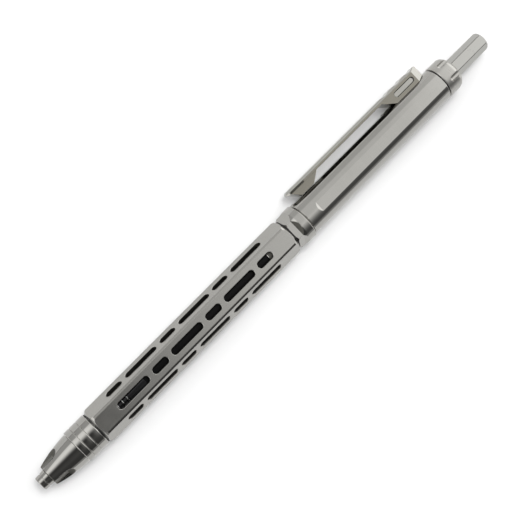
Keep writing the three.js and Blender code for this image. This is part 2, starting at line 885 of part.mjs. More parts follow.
function refillPlug() {
  const tail = refillRadius - refillWall - seatGap;
  const front = plugFront + seatGap;
  const body = revolve([
    [front - plugTailLength, tail],
    [front, tail],
    [front, refillRadius],
    [refillRear, refillRadius],
    [refillRear, inkBore],
    [front - plugTailLength, inkBore],
  ]);
  const floor = refillRadius - plugNotchDepth;
  const half = plugNotchWidth / 2;
  const [low, high] = [front + half, refillRear + half];
  const side = [[low, -half], [high, -half], [high, half], [low, half]];
  const notch = plate(side, floor, refillRadius + overrun);
  return cut(body, around(notch, plugNotches, 0));
}

// Return spring: a round wire along a helix, with straight ends that stand square on their seats.
function springPath() {
  const front = chamberFront + seatGap;
  const rear = springSeat - seatGap;
  const coilFront = front + springWire;
  const coilLength = rear - front - 2 * springWire;
  const steps = Math.round(springTurns * springSteps);
  const place = (x, step) => {
    const angle = (360 * degree * step) / springSteps;
    return new THREE.Vector3(x, springMeanRadius * Math.cos(angle), springMeanRadius * Math.sin(angle));
  };
  const path = [place(front, 0)];
  for (let step = 0; step <= steps; step++) {
    path.push(place(coilFront + (coilLength * step) / steps, step));
  }
  path.push(place(rear, steps));
  return path;
}

// The least gap between two turns of a wire, measured between the points of its path.
function leastGap(path, wire) {
  let least = Infinity;
  path.forEach((point, i) => {
    for (const other of path.slice(i + springSteps / 2)) {
      least = Math.min(least, point.distanceTo(other) - wire);
    }
  });
  return least;
}

function returnSpring() {
  const path = springPath();
  const points = [];
  path.forEach((point, i) => {
    const before = path[Math.max(i - 1, 0)];
    const after = path[Math.min(i + 1, path.length - 1)];
    const inward = point.clone().sub(before).normalize();
    const onward = after.clone().sub(point).normalize();
    const along = inward.add(onward).normalize();
    const out = new THREE.Vector3(0, point.y, point.z).normalize();
    const across = along.clone().cross(out).normalize();
    for (let side = 0; side < springSides; side++) {
      const angle = (360 * degree * side) / springSides;
      const corner = point.clone();
      corner.addScaledVector(out, (springWire / 2) * Math.cos(angle));
      corner.addScaledVector(across, (springWire / 2) * Math.sin(angle));
      points.push(...corner.toArray());
    }
  });
  const faces = [];
  for (let ring = 0; ring < path.length - 1; ring++) {
    for (let side = 0; side < springSides; side++) {
      const a = ring * springSides + side;
      const b = ring * springSides + ((side + 1) % springSides);
      faces.push(a, b, b + springSides, a, b + springSides, a + springSides);
    }
  }
  const last = (path.length - 1) * springSides;
  for (let side = 1; side < springSides - 1; side++) {
    faces.push(0, side + 1, side, last, last + side, last + side + 1);
  }
  console.log(`return spring, least gap to itself: ${leastGap(path, springWire).toFixed(2)} mm`);
  return solidFrom(points, faces);
}

// Finishes

// Makes a new material of one finish, from its colour, roughness and metalness.
const finish = (color, roughness, metalness) => () =>
  new THREE.MeshStandardMaterial({ color, roughness, metalness });
const satinTitanium = finish(0xb3b0a8, 0.42, 1);
const polishedTitanium = finish(0xaaa69d, 0.16, 1);
const steel = finish(0xc2c3c4, 0.28, 1);
const brass = finish(0xb89a55, 0.34, 1);
const blackPlastic = finish(0x17171a, 0.5, 0);
const blackRubber = finish(0x121212, 0.8, 0);
const whiteResin = finish(0xd9d7cf, 0.45, 0);

// Assembly

// A group that holds the named pieces of one moving body.
function bodyOf(pieces) {
  const group = new THREE.Group();
  for (const [name, solid, materialOf] of pieces) {
    const mesh = new THREE.Mesh(geometryOf(solid), materialOf());
    mesh.name = name;
    group.add(mesh);
  }
  return group;
}

const shell = bodyOf([
  ["nozzle_tip", nozzleTip(), satinTitanium],
  ["nose_cone", noseCone(), polishedTitanium],
  ["nose_ring", noseRing(), polishedTitanium],
  ["nose_o_ring", sealRing(ringFront + ringLength, threadRadius), blackRubber],
  ["grip_barrel", gripBarrel(), satinTitanium],
  ["collar_o_ring", sealRing(gripRear, threadRadius, collarSealDepth), blackRubber],
  ["joint_collar", jointCollar(), satinTitanium],
  ["upper_barrel", upperBarrel(), satinTitanium],
  ["clip", clip(), satinTitanium],
  ["clip_screw_front", clipScrew(screwStations[0]), steel],
  ["clip_screw_rear", clipScrew(screwStations[1]), steel],
  ["guide_sleeve", guideSleeve(), brass],
  ["cap_o_ring", sealRing(barrelRear, spigotRadius), blackRubber],
  ["end_cap", endCap(), satinTitanium],
  ["return_spring", returnSpring(), steel],
]);
const knock = bodyOf([
  ["knock_rod", knockRod(), satinTitanium],
  ["thrust_crown", thrustCrown(), whiteResin],
]);
const refill = bodyOf([
  ["refill_ball", refillBall(), steel],
  ["refill_point", refillPoint(), brass],
  ["refill_nose", refillNose(), blackPlastic],
  ["refill_tube", refillTube(), blackPlastic],
  ["refill_plug", refillPlug(), whiteResin],
]);
const cam = bodyOf([["rotary_cam", rotaryCam(), brass]]);

refill.add(cam);
const pen = new THREE.Group();
pen.add(shell, knock, refill);
pen.position.set(-rodRear / 2, (gripCornerRadius - clipTop) / 2, collarRadius);

export default pen;
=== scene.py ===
"""Looks for a titanium click pen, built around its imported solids.

Each piece is shaped in millimetres on the pen's own axis: X is the distance behind the front of the
nozzle, and a turn is an angle about that axis, from +Z towards +Y. It is then set in place in metres.
"""

import logging
import math
from dataclasses import dataclass, field
from enum import Enum
from typing import Any, Callable

import bmesh
import bpy
from mathutils import Matrix, Vector


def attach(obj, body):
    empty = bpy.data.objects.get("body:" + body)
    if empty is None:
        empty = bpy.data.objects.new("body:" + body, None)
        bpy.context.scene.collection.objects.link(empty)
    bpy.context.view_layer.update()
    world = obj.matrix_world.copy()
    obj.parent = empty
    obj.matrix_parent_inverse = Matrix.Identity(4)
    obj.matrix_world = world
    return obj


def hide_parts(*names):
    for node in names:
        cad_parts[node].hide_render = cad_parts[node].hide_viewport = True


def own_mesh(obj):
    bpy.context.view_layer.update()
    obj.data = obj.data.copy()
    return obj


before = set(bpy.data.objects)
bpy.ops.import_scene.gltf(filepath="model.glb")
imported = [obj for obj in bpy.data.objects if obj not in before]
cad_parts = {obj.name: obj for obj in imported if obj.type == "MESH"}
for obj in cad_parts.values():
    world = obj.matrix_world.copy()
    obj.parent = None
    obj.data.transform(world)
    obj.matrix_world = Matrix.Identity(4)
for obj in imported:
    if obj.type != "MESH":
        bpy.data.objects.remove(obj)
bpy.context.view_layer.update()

LOG = logging.getLogger("click_pen")

MM = 0.001
NOZZLE_X = -72.5  # where the pen's axis starts in the frame, in millimetres
AXIS_Y = -1.285
AXIS_Z = 4.57
TINY = 1e-6
MATRIX_SIZE = 4
OVERRUN = 0.5  # how far a cutter runs past what it cuts
SEAT = 0.05  # between two pieces that seat on each other
SIDES = 192  # of the round pieces
FINE_SIDES = 256  # of the widest round pieces
WIRE_SIDES = 12
ARC = 24  # steps in a half circle
EASE_STEPS = 8
SHARP_ANGLE = 12.0  # in degrees, between two faces that meet in a crease
RIGHT_ANGLE = 90.0  # in degrees, as the next two are
HALF_TURN = 180.0
FULL_TURN = 360.0
MIDDLE = 0.5  # of a measure that runs from 0 to 1
X_SPAN = 2.0  # of a direction's X, from -1 to 1
HALF_STEP = 0.5  # keeps a whole number clear of the edge where it would be rounded down
GENERATED = "geometry"

# Sockets of a Mix node that mixes colours
MIX_SHARE = 0
MIX_FIRST = 6
MIX_SECOND = 7
MIX_RESULT = 2

Place = tuple[float, ...]
Outline = list[Place]
Chooser = Callable[[Vector, Vector], bool]

# Stations along the axis that several pieces share
CONE_FRONT = 2.55
RING_FRONT = 10.85
GRIP_FRONT = 16.9
GRIP_REAR = 77.4
COLLAR_FRONT = 77.7
BARREL_FRONT = 82.4
BARREL_REAR = 129.0
CAP_FRONT = 129.3
CAP_REAR = 134.0
ROD_REAR = 145.0
SPRING_SEAT = 26.2
POINT_REAR = 12.2
PLUG_FRONT = 97.5

# Other measures that several pieces share
THREAD_RADIUS = 3.45
SPIGOT_RADIUS = 3.5
BARREL_RADIUS = 4.27
REFILL_BORE = 2.95
ROD_SIDES = 6
ROD_TURN = 4.0
SEAL_GAP = 0.3
SEAL_DEPTH = 0.5
SEAL_ROUND = 0.09
SEAL_EASE = 0.05


class Carve(Enum):
    """What a cutter does to a body."""

    REMOVE = "DIFFERENCE"
    KEEP = "INTERSECT"
    JOIN = "UNION"


class Grain(Enum):
    """Which way the marks of making run, as the stretch of the grain along X and across it."""

    TURNED = (9000.0, 260.0)
    DRAWN = (240.0, 5200.0)
    BLASTED = (4200.0, 4200.0)
    MOULDED = (1500.0, 1500.0)


class NodeWriter:
    """Writes the nodes of one tree, for shapes and for materials."""

    def __init__(self, tree: bpy.types.NodeTree) -> None:
        """Keeps the tree that is written."""
        self.tree = tree

    def feed(self, socket: bpy.types.NodeSocket, value: Any) -> None:
        """Links a node or a socket to an input, or sets the input's value.

        Args:
            socket: The input.
            value: A node, whose first output is used, a socket, or a plain value.
        """
        if isinstance(value, bpy.types.Node):
            value = value.outputs[0]
        if isinstance(value, bpy.types.NodeSocket):
            self.tree.links.new(value, socket)
        else:
            socket.default_value = value

    def add(self, kind: str, inputs: dict[Any, Any] | None = None, **settings: Any) -> bpy.types.Node:
        """Adds one node.

        Args:
            kind: The node's type.
            inputs: What its inputs are fed with, by name or number.
            **settings: The node's own settings.

        Returns:
            The new node.
        """
        node = self.tree.nodes.new(kind)
        for key, value in settings.items():
            setattr(node, key, value)
        for key, value in (inputs or {}).items():
            self.feed(node.inputs[key], value)
        return node

    def math(self, operation: str, first: Any, second: Any = 0.0, third: Any = 0.0) -> bpy.types.Node:
        """Adds one step of arithmetic on two or three numbers."""
        return self.add("ShaderNodeMath", {0: first, 1: second, 2: third}, operation=operation)

    def ramp(
        self, value: Any, start: float, end: float, low: float = 0.0, high: float = 1.0
    ) -> bpy.types.Node:
        """Adds a straight ramp.

        Args:
            value: What the ramp follows.
            start: Where the ramp starts, and below which it stays low.
            end: Where it ends, and above which it stays high.
            low: Its value at its start.
            high: Its value at its end.

        Returns:
            The new node.
        """
        limits = {"Value": value, "From Min": start, "From Max": end, "To Min": low, "To Max": high}
        return self.add("ShaderNodeMapRange", limits)

    def blend(self, share: Any, first: Any, second: Any) -> bpy.types.NodeSocket:
        """Mixes two colours.

        Args:
            share: How much of the second colour is in the mix.
            first: The first colour.
            second: The second colour.

        Returns:
            The socket of the colour between them.
        """
        inputs = {MIX_SHARE: share, MIX_FIRST: first, MIX_SECOND: second}
        return self.add("ShaderNodeMix", inputs, data_type="RGBA").outputs[MIX_RESULT]


class ShapeTree(NodeWriter):
    """A tree of geometry nodes with named inputs, which makes one shape and gives it its finish."""

    def __init__(self, name: str, inputs: dict[str, str]) -> None:
        """Starts the tree.

        Args:
            name: The tree's name.
            inputs: The kind of each named input, such as Float, Int, Object or Material.
        """
        super().__init__(bpy.data.node_groups.new(name, "GeometryNodeTree"))
        faces = self.tree.interface
        faces.new_socket(name=GENERATED, in_out="INPUT", socket_type="NodeSocketGeometry")
        for label, kind in inputs.items():
            faces.new_socket(name=label, in_out="INPUT", socket_type=f"NodeSocket{kind}")
        faces.new_socket(name=GENERATED, in_out="OUTPUT", socket_type="NodeSocketGeometry")
        self.source = self.add("NodeGroupInput")

    def value(self, label: str) -> bpy.types.NodeSocket:
        """Returns the socket of a named input."""
        return self.source.outputs[label]

    def mill(self, body: Any, tools: Any) -> bpy.types.Node:
        """Cuts tools out of a body.

        Args:
            body: What is cut.
            tools: The instances that cut it.

        Returns:
            The node of what is left.
        """
        whole = self.add("GeometryNodeRealizeInstances", {0: tools})
        cut = self.add("GeometryNodeMeshBoolean", {0: body, 1: whole}, operation="DIFFERENCE")
        cut.solver = "MANIFOLD"
        return cut

    def close(self, shape: Any) -> None:
        """Ends the tree in Realize Instances and Set Material.

        Args:
            shape: What the tree has made.
        """
        whole = self.add("GeometryNodeRealizeInstances", {0: shape})
        dressed = self.add("GeometryNodeSetMaterial", {0: whole, "Material": self.value("Finish")})
        self.add("NodeGroupOutput", {0: dressed})

    def run(self, body: bpy.types.Object, values: dict[str, Any]) -> bpy.types.Object:
        """Runs the tree on a body and turns the result into a plain mesh.

        Args:
            body: The object that the tree changes or replaces.
            values: A value for each named input.

        Returns:
            The same object, with its new mesh.
        """
        modifier = body.modifiers.new(self.tree.name, "NODES")
        modifier.node_group = self.tree
        for item in self.tree.interface.items_tree:
            if item.in_out == "INPUT" and item.name in values:
                modifier[item.identifier] = values[item.name]
        return baked(body)


def closed_mesh(points: list[Place], faces: list[list[int]]) -> bpy.types.Object:
    """Makes an object of one closed mesh whose faces point outwards.

    Args:
        points: Its corners, in millimetres.
        faces: The corners of each face.

    Returns:
        The new object, linked into the scene.
    """
    mesh = bpy.data.meshes.new("blank")
    mesh.from_pydata(points, [], faces)
    work = bmesh.new()
    work.from_mesh(mesh)
    bmesh.ops.remove_doubles(work, verts=work.verts, dist=TINY)
    bmesh.ops.recalc_face_normals(work, faces=work.faces)
    if work.calc_volume(signed=True) < 0:
        bmesh.ops.reverse_faces(work, faces=work.faces)
    work.to_mesh(mesh)
    work.free()
    piece = bpy.data.objects.new("blank", mesh)
    bpy.context.scene.collection.objects.link(piece)
    return piece


def baked(piece: bpy.types.Object) -> bpy.types.Object:
    """Makes what an object's modifiers show its plain mesh, and removes them.

    Args:
        piece: The object.

    Returns:
        The same object, with its new mesh.
    """
    bpy.context.view_layer.update()
    shown = piece.evaluated_get(bpy.context.evaluated_depsgraph_get())
    mesh = bpy.data.meshes.new_from_object(shown)
    piece.modifiers.clear()
    piece.data = mesh
    return piece


def moved(piece: bpy.types.Object, x: float = 0.0, y: float = 0.0, z: float = 0.0) -> bpy.types.Object:
    """Shifts an object's mesh."""
    piece.data.transform(Matrix.Translation((x, y, z)))
    return piece


def turned(piece: bpy.types.Object, turn: float, axis: str = "X") -> bpy.types.Object:
    """Turns an object's mesh.

    Args:
        piece: The object.
        turn: The angle in degrees. About X it goes from +Z towards +Y.
        axis: The axis that it is turned about.

    Returns:
        The same object.
    """
    angle = math.radians(-turn if axis == "X" else turn)
    piece.data.transform(Matrix.Rotation(angle, MATRIX_SIZE, axis))
    return piece


def carve(
    body: bpy.types.Object, tools: list[bpy.types.Object], how: Carve = Carve.REMOVE
) -> bpy.types.Object:
    """Cuts, joins or trims a body with tools, which are used up.

    Args:
        body: The object that is changed.
        tools: The objects that it is changed by, one after another.
        how: What the tools do.

    Returns:
        The same object, with its new mesh.
    """
    for tool in tools:
        modifier = body.modifiers.new("carve", "BOOLEAN")
        modifier.operation = how.value
        modifier.solver = "MANIFOLD"
        modifier.object = tool
    baked(body)
    for tool in tools:
        bpy.data.objects.remove(tool)
    return body


def eased(corners: list[Place], steps: int = EASE_STEPS) -> Outline:
    """Rounds the corners of a closed outline.

    Args:
        corners: Places of two numbers, or of three where the third is how far the round reaches.
        steps: Number of steps in each round.

    Returns:
        The outline with each round as a short run of places.
    """
    places: Outline = []
    for i, corner in enumerate(corners):
        here = Vector(corner[:2])
        if len(corner) == 2:
            places.append(tuple(here))
            continue
        before = Vector(corners[i - 1][:2]) - here
        after = Vector(corners[(i + 1) % len(corners)][:2]) - here
        start = here + before.normalized() * corner[2]
        end = here + after.normalized() * corner[2]
        for step in range(steps + 1):
            share = step / steps
            place = start * (1 - share) ** 2 + here * 2 * share * (1 - share) + end * share**2
            places.append(tuple(place))
    return places


def lathe(profile: Outline, sides: int = SIDES) -> bpy.types.Object:
    """Turns an outline about the pen's axis.

    Args:
        profile: Places as (x, radius), which start and end on the axis or close on themselves.
        sides: Number of sides.

    Returns:
        The closed body.
    """
    points: list[Place] = []
    rings: list[list[int]] = []
    for x, radius in profile:
        count = 1 if radius < TINY else sides
        rings.append(list(range(len(points), len(points) + count)))
        for side in range(count):
            angle = math.tau * side / sides
            points.append((x, radius * math.sin(angle), radius * math.cos(angle)))
    faces: list[list[int]] = []
    for here, there in zip(rings, rings[1:] + rings[:1]):
        if len(here) == len(there) == 1:
            continue
        for side in range(sides):
            after = (side + 1) % sides
            loop = [here[side % len(here)], here[after % len(here)]]
            loop += [there[after % len(there)], there[side % len(there)]]
            faces.append(list(dict.fromkeys(loop)))
    return closed_mesh(points, faces)


def along_sides(way: Vector, sides: int, turn: float = 0.0) -> float:
    """Measures how far a vector reaches towards the nearest flat side of a bar.

    Args:
        way: The vector.
        sides: Number of flat sides.
        turn: The turn that one of them faces, in degrees.

    Returns:
        The reach, which is 1 for a unit vector that faces a side squarely.
    """
    turns = [math.radians(turn) + math.tau * side / sides for side in range(sides)]
    return max(way.y * math.sin(angle) + way.z * math.cos(angle) for angle in turns)


def bar(front: float, rear: float, radius: float, sides: int = SIDES) -> bpy.types.Object:
    """Makes a plain round bar on the pen's axis."""
    return lathe([(front, 0), (front, radius), (rear, radius), (rear, 0)], sides)


def quarter_round(end: float, radius: float, reach: float, steps: int) -> Outline:
    """Outlines the round at the rear end of a turned piece.

    Args:
        end: Where the piece ends.
        radius: The piece's radius before the round.
        reach: The radius of the round itself.
        steps: Number of steps in it.

    Returns:
        The round's places, from the side of the piece to its end.
    """
    places: Outline = []
    for step in range(steps + 1):
        angle = math.pi / 2 * step / steps
        places.append((end - reach * (1 - math.sin(angle)), radius - reach * (1 - math.cos(angle))))
    return places


def loft(rings: list[list[Place]]) -> bpy.types.Object:
    """Skins rings of places, and closes both ends.

    Args:
        rings: The rings, which all have the same number of places.

    Returns:
        The closed body.
    """
    count = len(rings[0])
    points = [place for ring in rings for place in ring]
    faces = [list(range(count)), list(range(count * (len(rings) - 1), count * len(rings)))]
    for start in range(0, count * (len(rings) - 1), count):
        for i in range(count):
            after = (i + 1) % count
            faces.append([start + i, start + after, start + count + after, start + count + i])
    return closed_mesh(points, faces)


def plate(outline: Outline, low: float, high: float) -> bpy.types.Object:
    """Pushes an outline in x and y from z = low to z = high."""
    return loft([[(x, y, z) for x, y in outline] for z in (low, high)])


def from_side(side: Outline, half: float) -> bpy.types.Object:
    """Pushes an outline of x and height sideways.

    Args:
        side: The outline, seen from the side.
        half: How far the body reaches to both sides.

    Returns:
        The closed body.
    """
    return turned(plate([(x, -z) for x, z in side], -half, half), RIGHT_ANGLE)


def prism(
    front: float, rear: float, flat: float, sides: int, turn: float, edge: float = 0.0, rear_flat: float = 0.0
) -> bpy.types.Object:
    """Makes a bar with flat sides, one of which faces the turn.

    Args:
        front: Its front end.
        rear: Its rear end.
        flat: From its axis to a flat side.
        sides: Number of flat sides.
        turn: The turn that one of them faces, in degrees.
        edge: How far a chamfer on each edge reaches into the sides beside it.
        rear_flat: From its axis to a flat side at the rear, where it isn't the same.

    Returns:
        The closed bar.
    """
    rings = []
    for x, reach in ((front, flat), (rear, rear_flat or flat)):
        half = reach * math.tan(math.pi / sides) - edge
        swing = math.atan2(half, reach)
        radius = math.hypot(reach, half)
        ring = []
        for i in range(sides):
            middle = math.radians(turn) + math.tau * i / sides
            for angle in (middle - swing, middle + swing) if edge else (middle + swing,):
                ring.append((x, radius * math.sin(angle), radius * math.cos(angle)))
        rings.append(ring)
    return loft(rings)


def stadium(front: float, rear: float, half: float, grow: float = 0.0) -> Outline:
    """Outlines a slot with round ends.

    Args:
        front: The slot's front end.
        rear: Its rear end.
        half: Half of its width.
        grow: How far the outline lies outside the slot.

    Returns:
        The outline.
    """
    places: Outline = []
    for middle, start in ((rear - half, -RIGHT_ANGLE), (front + half, RIGHT_ANGLE)):
        for step in range(ARC + 1):
            angle = math.radians(start) + math.pi * step / ARC
            reach = half + grow
            places.append((middle + reach * math.cos(angle), reach * math.sin(angle)))
    return places


def slot_cutter(
    front: float, rear: float, width: float, floor: float, face: float, rim: float
) -> bpy.types.Object:
    """Makes the cutter of a slot with a small chamfer at its rim, on the +Z side.

    Args:
        front: The slot's front end.
        rear: Its rear end.
        width: Its width below the rim.
        floor: Height of its floor.
        face: Height of the face that it is cut in.
        rim: Width of the chamfer.

    Returns:
        The cutter.
    """
    levels = ((floor, 0.0), (face - rim, 0.0), (face + OVERRUN, rim + OVERRUN))
    rings = [[(x, y, z) for x, y in stadium(front, rear, width / 2, grow)] for z, grow in levels]
    return loft(rings)


def ball_nosed(length: float, radius: float) -> bpy.types.Object:
    """Makes a ball-nosed cutter along the pen, whose round end faces +X and ends at x = 0.

    Args:
        length: Its length.
        radius: Its radius.

    Returns:
        The cutter.
    """
    places: Outline = [(-length, 0), (-length, radius)]
    for step in range(ARC // 2 + 1):
        angle = math.pi * step / ARC
        places.append((radius * (math.sin(angle) - 1), radius * math.cos(angle)))
    return lathe(places, 2 * ARC)


def flat_cutter(front: float, ramp: float, rear: float, flat: float, radius: float) -> bpy.types.Object:
    """Makes what a milled flat takes off the +Z side.

    Args:
        front: Where the ramp down to the flat starts.
        ramp: The ramp's length.
        rear: The flat's rear end.
        flat: Height of the flat.
        radius: Radius of the piece that is cut.

    Returns:
        The cutter.
    """
    reach = radius + OVERRUN
    start = front - ramp * OVERRUN / (radius - flat)
    side = [(start, reach), (front + ramp, flat), (rear, flat), (rear, reach)]
    return from_side(side, reach)


@dataclass(frozen=True)
class ScrewHoles:
    """The countersunk holes of the clip screws, from the barrel's bore outwards to +Y."""

    stations: Place = (120.5, 124.7)
    start: float = 3.05
    head_end: float = 3.6
    cone_end: float = 4.15
    end: float = 6.25
    head_radius: float = 1.35
    shank_radius: float = 0.85
    sides: int = 48

    def cutters(self) -> list[bpy.types.Object]:
        """Makes the cutters of the holes.

        Returns:
            One cutter for each hole.
        """
        profile = [
            (self.start, 0), (self.start, self.head_radius), (self.head_end, self.head_radius),
            (self.cone_end, self.shank_radius), (self.end, self.shank_radius), (self.end, 0),
        ]
        return [moved(turned(lathe(profile, self.sides), RIGHT_ANGLE, "Z"), x) for x in self.stations]


def ring_mill() -> ShapeTree:
    """Writes the tree that mills copies of one cutter round the pen's axis.

    Returns:
        The tree.
    """
    labels = {"Cutter": "Object", "Copies": "Int", "First Turn": "Float", "Finish": "Material"}
    tree = ShapeTree("ring_mill", labels)
    points = tree.add("GeometryNodeMeshLine", {"Count": tree.value("Copies"), "Offset": (0, 0, 0)})
    step = tree.math("DIVIDE", math.tau, tree.value("Copies"))
    index = tree.add("GeometryNodeInputIndex")
    turn = tree.math("MULTIPLY_ADD", index, step, tree.value("First Turn"))
    spin = tree.add("ShaderNodeCombineXYZ", {"X": tree.math("SUBTRACT", 0.0, turn)})
    tool = tree.add("GeometryNodeObjectInfo", {"Object": tree.value("Cutter")})
    spread = {
        "Points": points,
        "Instance": tool.outputs["Geometry"],
        "Rotation": tree.add("FunctionNodeEulerToRotation", {0: spin}),
    }
    copies = tree.add("GeometryNodeInstanceOnPoints", spread)
    tree.close(tree.mill(tree.value(GENERATED), copies))
    return tree


def slot_mill() -> ShapeTree:
    """Writes the tree that mills rows of long and short slots, which change places from row to row.

    Returns:
        The tree.
    """
    labels = {"Long Cutter": "Object", "Short Cutter": "Object", "Rows": "Int", "Pairs": "Int"}
    labels |= {"Long": "Float", "Short": "Float", "Bridge": "Float", "Finish": "Material"}
    tree = ShapeTree("slot_mill", labels)
    count = tree.math("MULTIPLY", tree.value("Rows"), tree.value("Pairs"))
    points = tree.add("GeometryNodeMeshLine", {"Count": count, "Offset": (0, 0, 0)})
    index = tree.add("GeometryNodeInputIndex")
    row = tree.math("FLOOR", tree.math("DIVIDE", tree.math("ADD", index, HALF_STEP), tree.value("Pairs")))
    pair = tree.math("SUBTRACT", index, tree.math("MULTIPLY", row, tree.value("Pairs")))
    both = tree.math("ADD", tree.value("Long"), tree.value("Short"))
    pitch = tree.math("MULTIPLY_ADD", tree.value("Bridge"), 2.0, both)
    start = tree.math("MULTIPLY", pair, pitch)
    odd = tree.math("FLOORED_MODULO", row, 2.0)
    even = tree.math("SUBTRACT", 1.0, odd)
    angle = tree.math("DIVIDE", tree.math("MULTIPLY", row, -math.tau), tree.value("Rows"))
    spin = tree.add("FunctionNodeEulerToRotation", {0: tree.add("ShaderNodeCombineXYZ", {"X": angle})})
    rest = tree.value(GENERATED)
    for label, is_second, before in (("Long Cutter", odd, "Short"), ("Short Cutter", even, "Long")):
        shift = tree.math("ADD", tree.value(before), tree.value("Bridge"))
        place = tree.math("MULTIPLY_ADD", is_second, shift, start)
        spots = {0: points, "Offset": tree.add("ShaderNodeCombineXYZ", {"X": place})}
        tool = tree.add("GeometryNodeObjectInfo", {"Object": tree.value(label)})
        spread = {
            "Points": tree.add("GeometryNodeSetPosition", spots),
            "Instance": tool.outputs["Geometry"],
            "Rotation": spin,
        }
        rest = tree.mill(rest, tree.add("GeometryNodeInstanceOnPoints", spread))
    tree.close(rest)
    return tree


def coil_winder() -> ShapeTree:
    """Writes the tree that winds a round wire into a coil with closed ends.

    Returns:
        The tree.
    """
    labels = {"Turns": "Float", "Closed Turns": "Float", "Front": "Float", "Rear": "Float"}
    labels |= {"Mean Radius": "Float", "Wire Radius": "Float", "Steps": "Int", "Finish": "Material"}
    tree = ShapeTree("coil_winder", labels)
    line = tree.add("GeometryNodeCurvePrimitiveLine", {"End": (1, 0, 0)})
    wire = tree.add("GeometryNodeResampleCurve", {"Curve": line, "Count": tree.value("Steps")})
    share = tree.add("GeometryNodeSplineParameter").outputs["Factor"]
    wound = tree.math("MULTIPLY", share, tree.value("Turns"))
    closed = tree.value("Closed Turns")
    climbing = tree.math("SUBTRACT", tree.value("Turns"), tree.math("MULTIPLY", closed, 2.0))
    climbed = tree.math("MAXIMUM", tree.math("SUBTRACT", wound, closed), 0.0)
    climbed = tree.math("MINIMUM", climbed, climbing)
    thick = tree.math("MULTIPLY", tree.value("Wire Radius"), 2.0)
    length = tree.math("SUBTRACT", tree.math("SUBTRACT", tree.value("Rear"), tree.value("Front")), thick)
    rise = tree.math("MULTIPLY", climbed, tree.math("DIVIDE", length, climbing))
    x = tree.math("ADD", tree.math("ADD", tree.value("Front"), tree.value("Wire Radius")), rise)
    angle = tree.math("MULTIPLY", wound, math.tau)
    y = tree.math("MULTIPLY", tree.math("SINE", angle), tree.value("Mean Radius"))
    z = tree.math("MULTIPLY", tree.math("COSINE", angle), tree.value("Mean Radius"))
    spots = tree.add("ShaderNodeCombineXYZ", {"X": x, "Y": y, "Z": z})
    helix = tree.add("GeometryNodeSetPosition", {0: wire, "Position": spots})
    circle = {"Resolution": WIRE_SIDES, "Radius": tree.value("Wire Radius")}
    section = tree.add("GeometryNodeCurvePrimitiveCircle", circle)
    tube = tree.add("GeometryNodeCurveToMesh", {0: helix, 1: section, "Fill Caps": True})
    tree.close(tree.add("GeometryNodeSetShadeSmooth", {0: tube}))
    return tree


@dataclass(frozen=True)
class Finish:
    """A finish, written as shader nodes on the object's own coordinates."""

    name: str
    colour: tuple[float, float, float]
    worn_colour: tuple[float, float, float]
    grain: Grain
    rough_low: float
    rough_high: float
    metallic: float = 1.0
    grain_depth: float = 0.0000006
    edge_radius: float = 0.00008
    patch_scale: float = 260.0
    ior: float = 1.45
    grain_detail: float = 3.0
    patch_detail: float = 4.0
    grain_share: float = 0.45
    patch_share: float = 0.55
    dark_share: float = 0.9
    light_share: float = 1.08
    mild_wear: float = 0.985
    full_wear: float = 0.86
    least_wear_share: float = 0.25
    gloss_start: float = 0.3
    gloss_end: float = 0.7
    bevel_samples: int = 6

    def material(self) -> bpy.types.Material:
        """Writes the material.

        Returns:
            The material, with grain, uneven colour and gloss, and brighter rounded edges.
        """
        made = bpy.data.materials.new(self.name)
        made.use_nodes = True
        made.node_tree.nodes.clear()
        pen = NodeWriter(made.node_tree)
        place = pen.add("ShaderNodeTexCoord").outputs["Object"]
        along, across = self.grain.value
        stretched = pen.add("ShaderNodeMapping", {"Vector": place, "Scale": (along, across, across)})
        marks = {"Vector": stretched, "Scale": 1.0, "Detail": self.grain_detail}
        grain = pen.add("ShaderNodeTexNoise", marks).outputs["Fac"]
        spots = {"Vector": place, "Scale": self.patch_scale, "Detail": self.patch_detail}
        patches = pen.add("ShaderNodeTexNoise", spots).outputs["Fac"]
        spotted = pen.math("MULTIPLY", patches, self.patch_share)
        mixed = pen.math("MULTIPLY_ADD", grain, self.grain_share, spotted)
        round_edge = pen.add("ShaderNodeBevel", {"Radius": self.edge_radius}, samples=self.bevel_samples)
        face = pen.add("ShaderNodeNewGeometry").outputs["True Normal"]
        bend = pen.add("ShaderNodeVectorMath", {0: round_edge, 1: face}, operation="DOT_PRODUCT")
        edge = pen.ramp(bend.outputs["Value"], self.mild_wear, self.full_wear)
        worn = pen.math("MULTIPLY", edge, pen.math("ADD", patches, self.least_wear_share))
        body = pen.blend(mixed, self.shaded(self.dark_share), self.shaded(self.light_share))
        colour = pen.blend(worn, body, (*self.worn_colour, 1.0))
        rough = pen.ramp(mixed, self.gloss_start, self.gloss_end, self.rough_low, self.rough_high)
        bump = {"Height": grain, "Distance": self.grain_depth, "Normal": round_edge}
        relief = pen.add("ShaderNodeBump", bump)
        inputs = {"Base Color": colour, "Metallic": self.metallic, "Roughness": rough, "IOR": self.ior}
        shader = pen.add("ShaderNodeBsdfPrincipled", inputs | {"Normal": relief})
        pen.add("ShaderNodeOutputMaterial", {"Surface": shader})
        return made

    def shaded(self, share: float) -> tuple[float, float, float, float]:
        """Returns the colour, made darker or lighter."""
        red, green, blue = (min(level * share, 1.0) for level in self.colour)
        return (red, green, blue, 1.0)


TITANIUM = (0.329, 0.323, 0.304)
WORN_TITANIUM = (0.42, 0.415, 0.396)

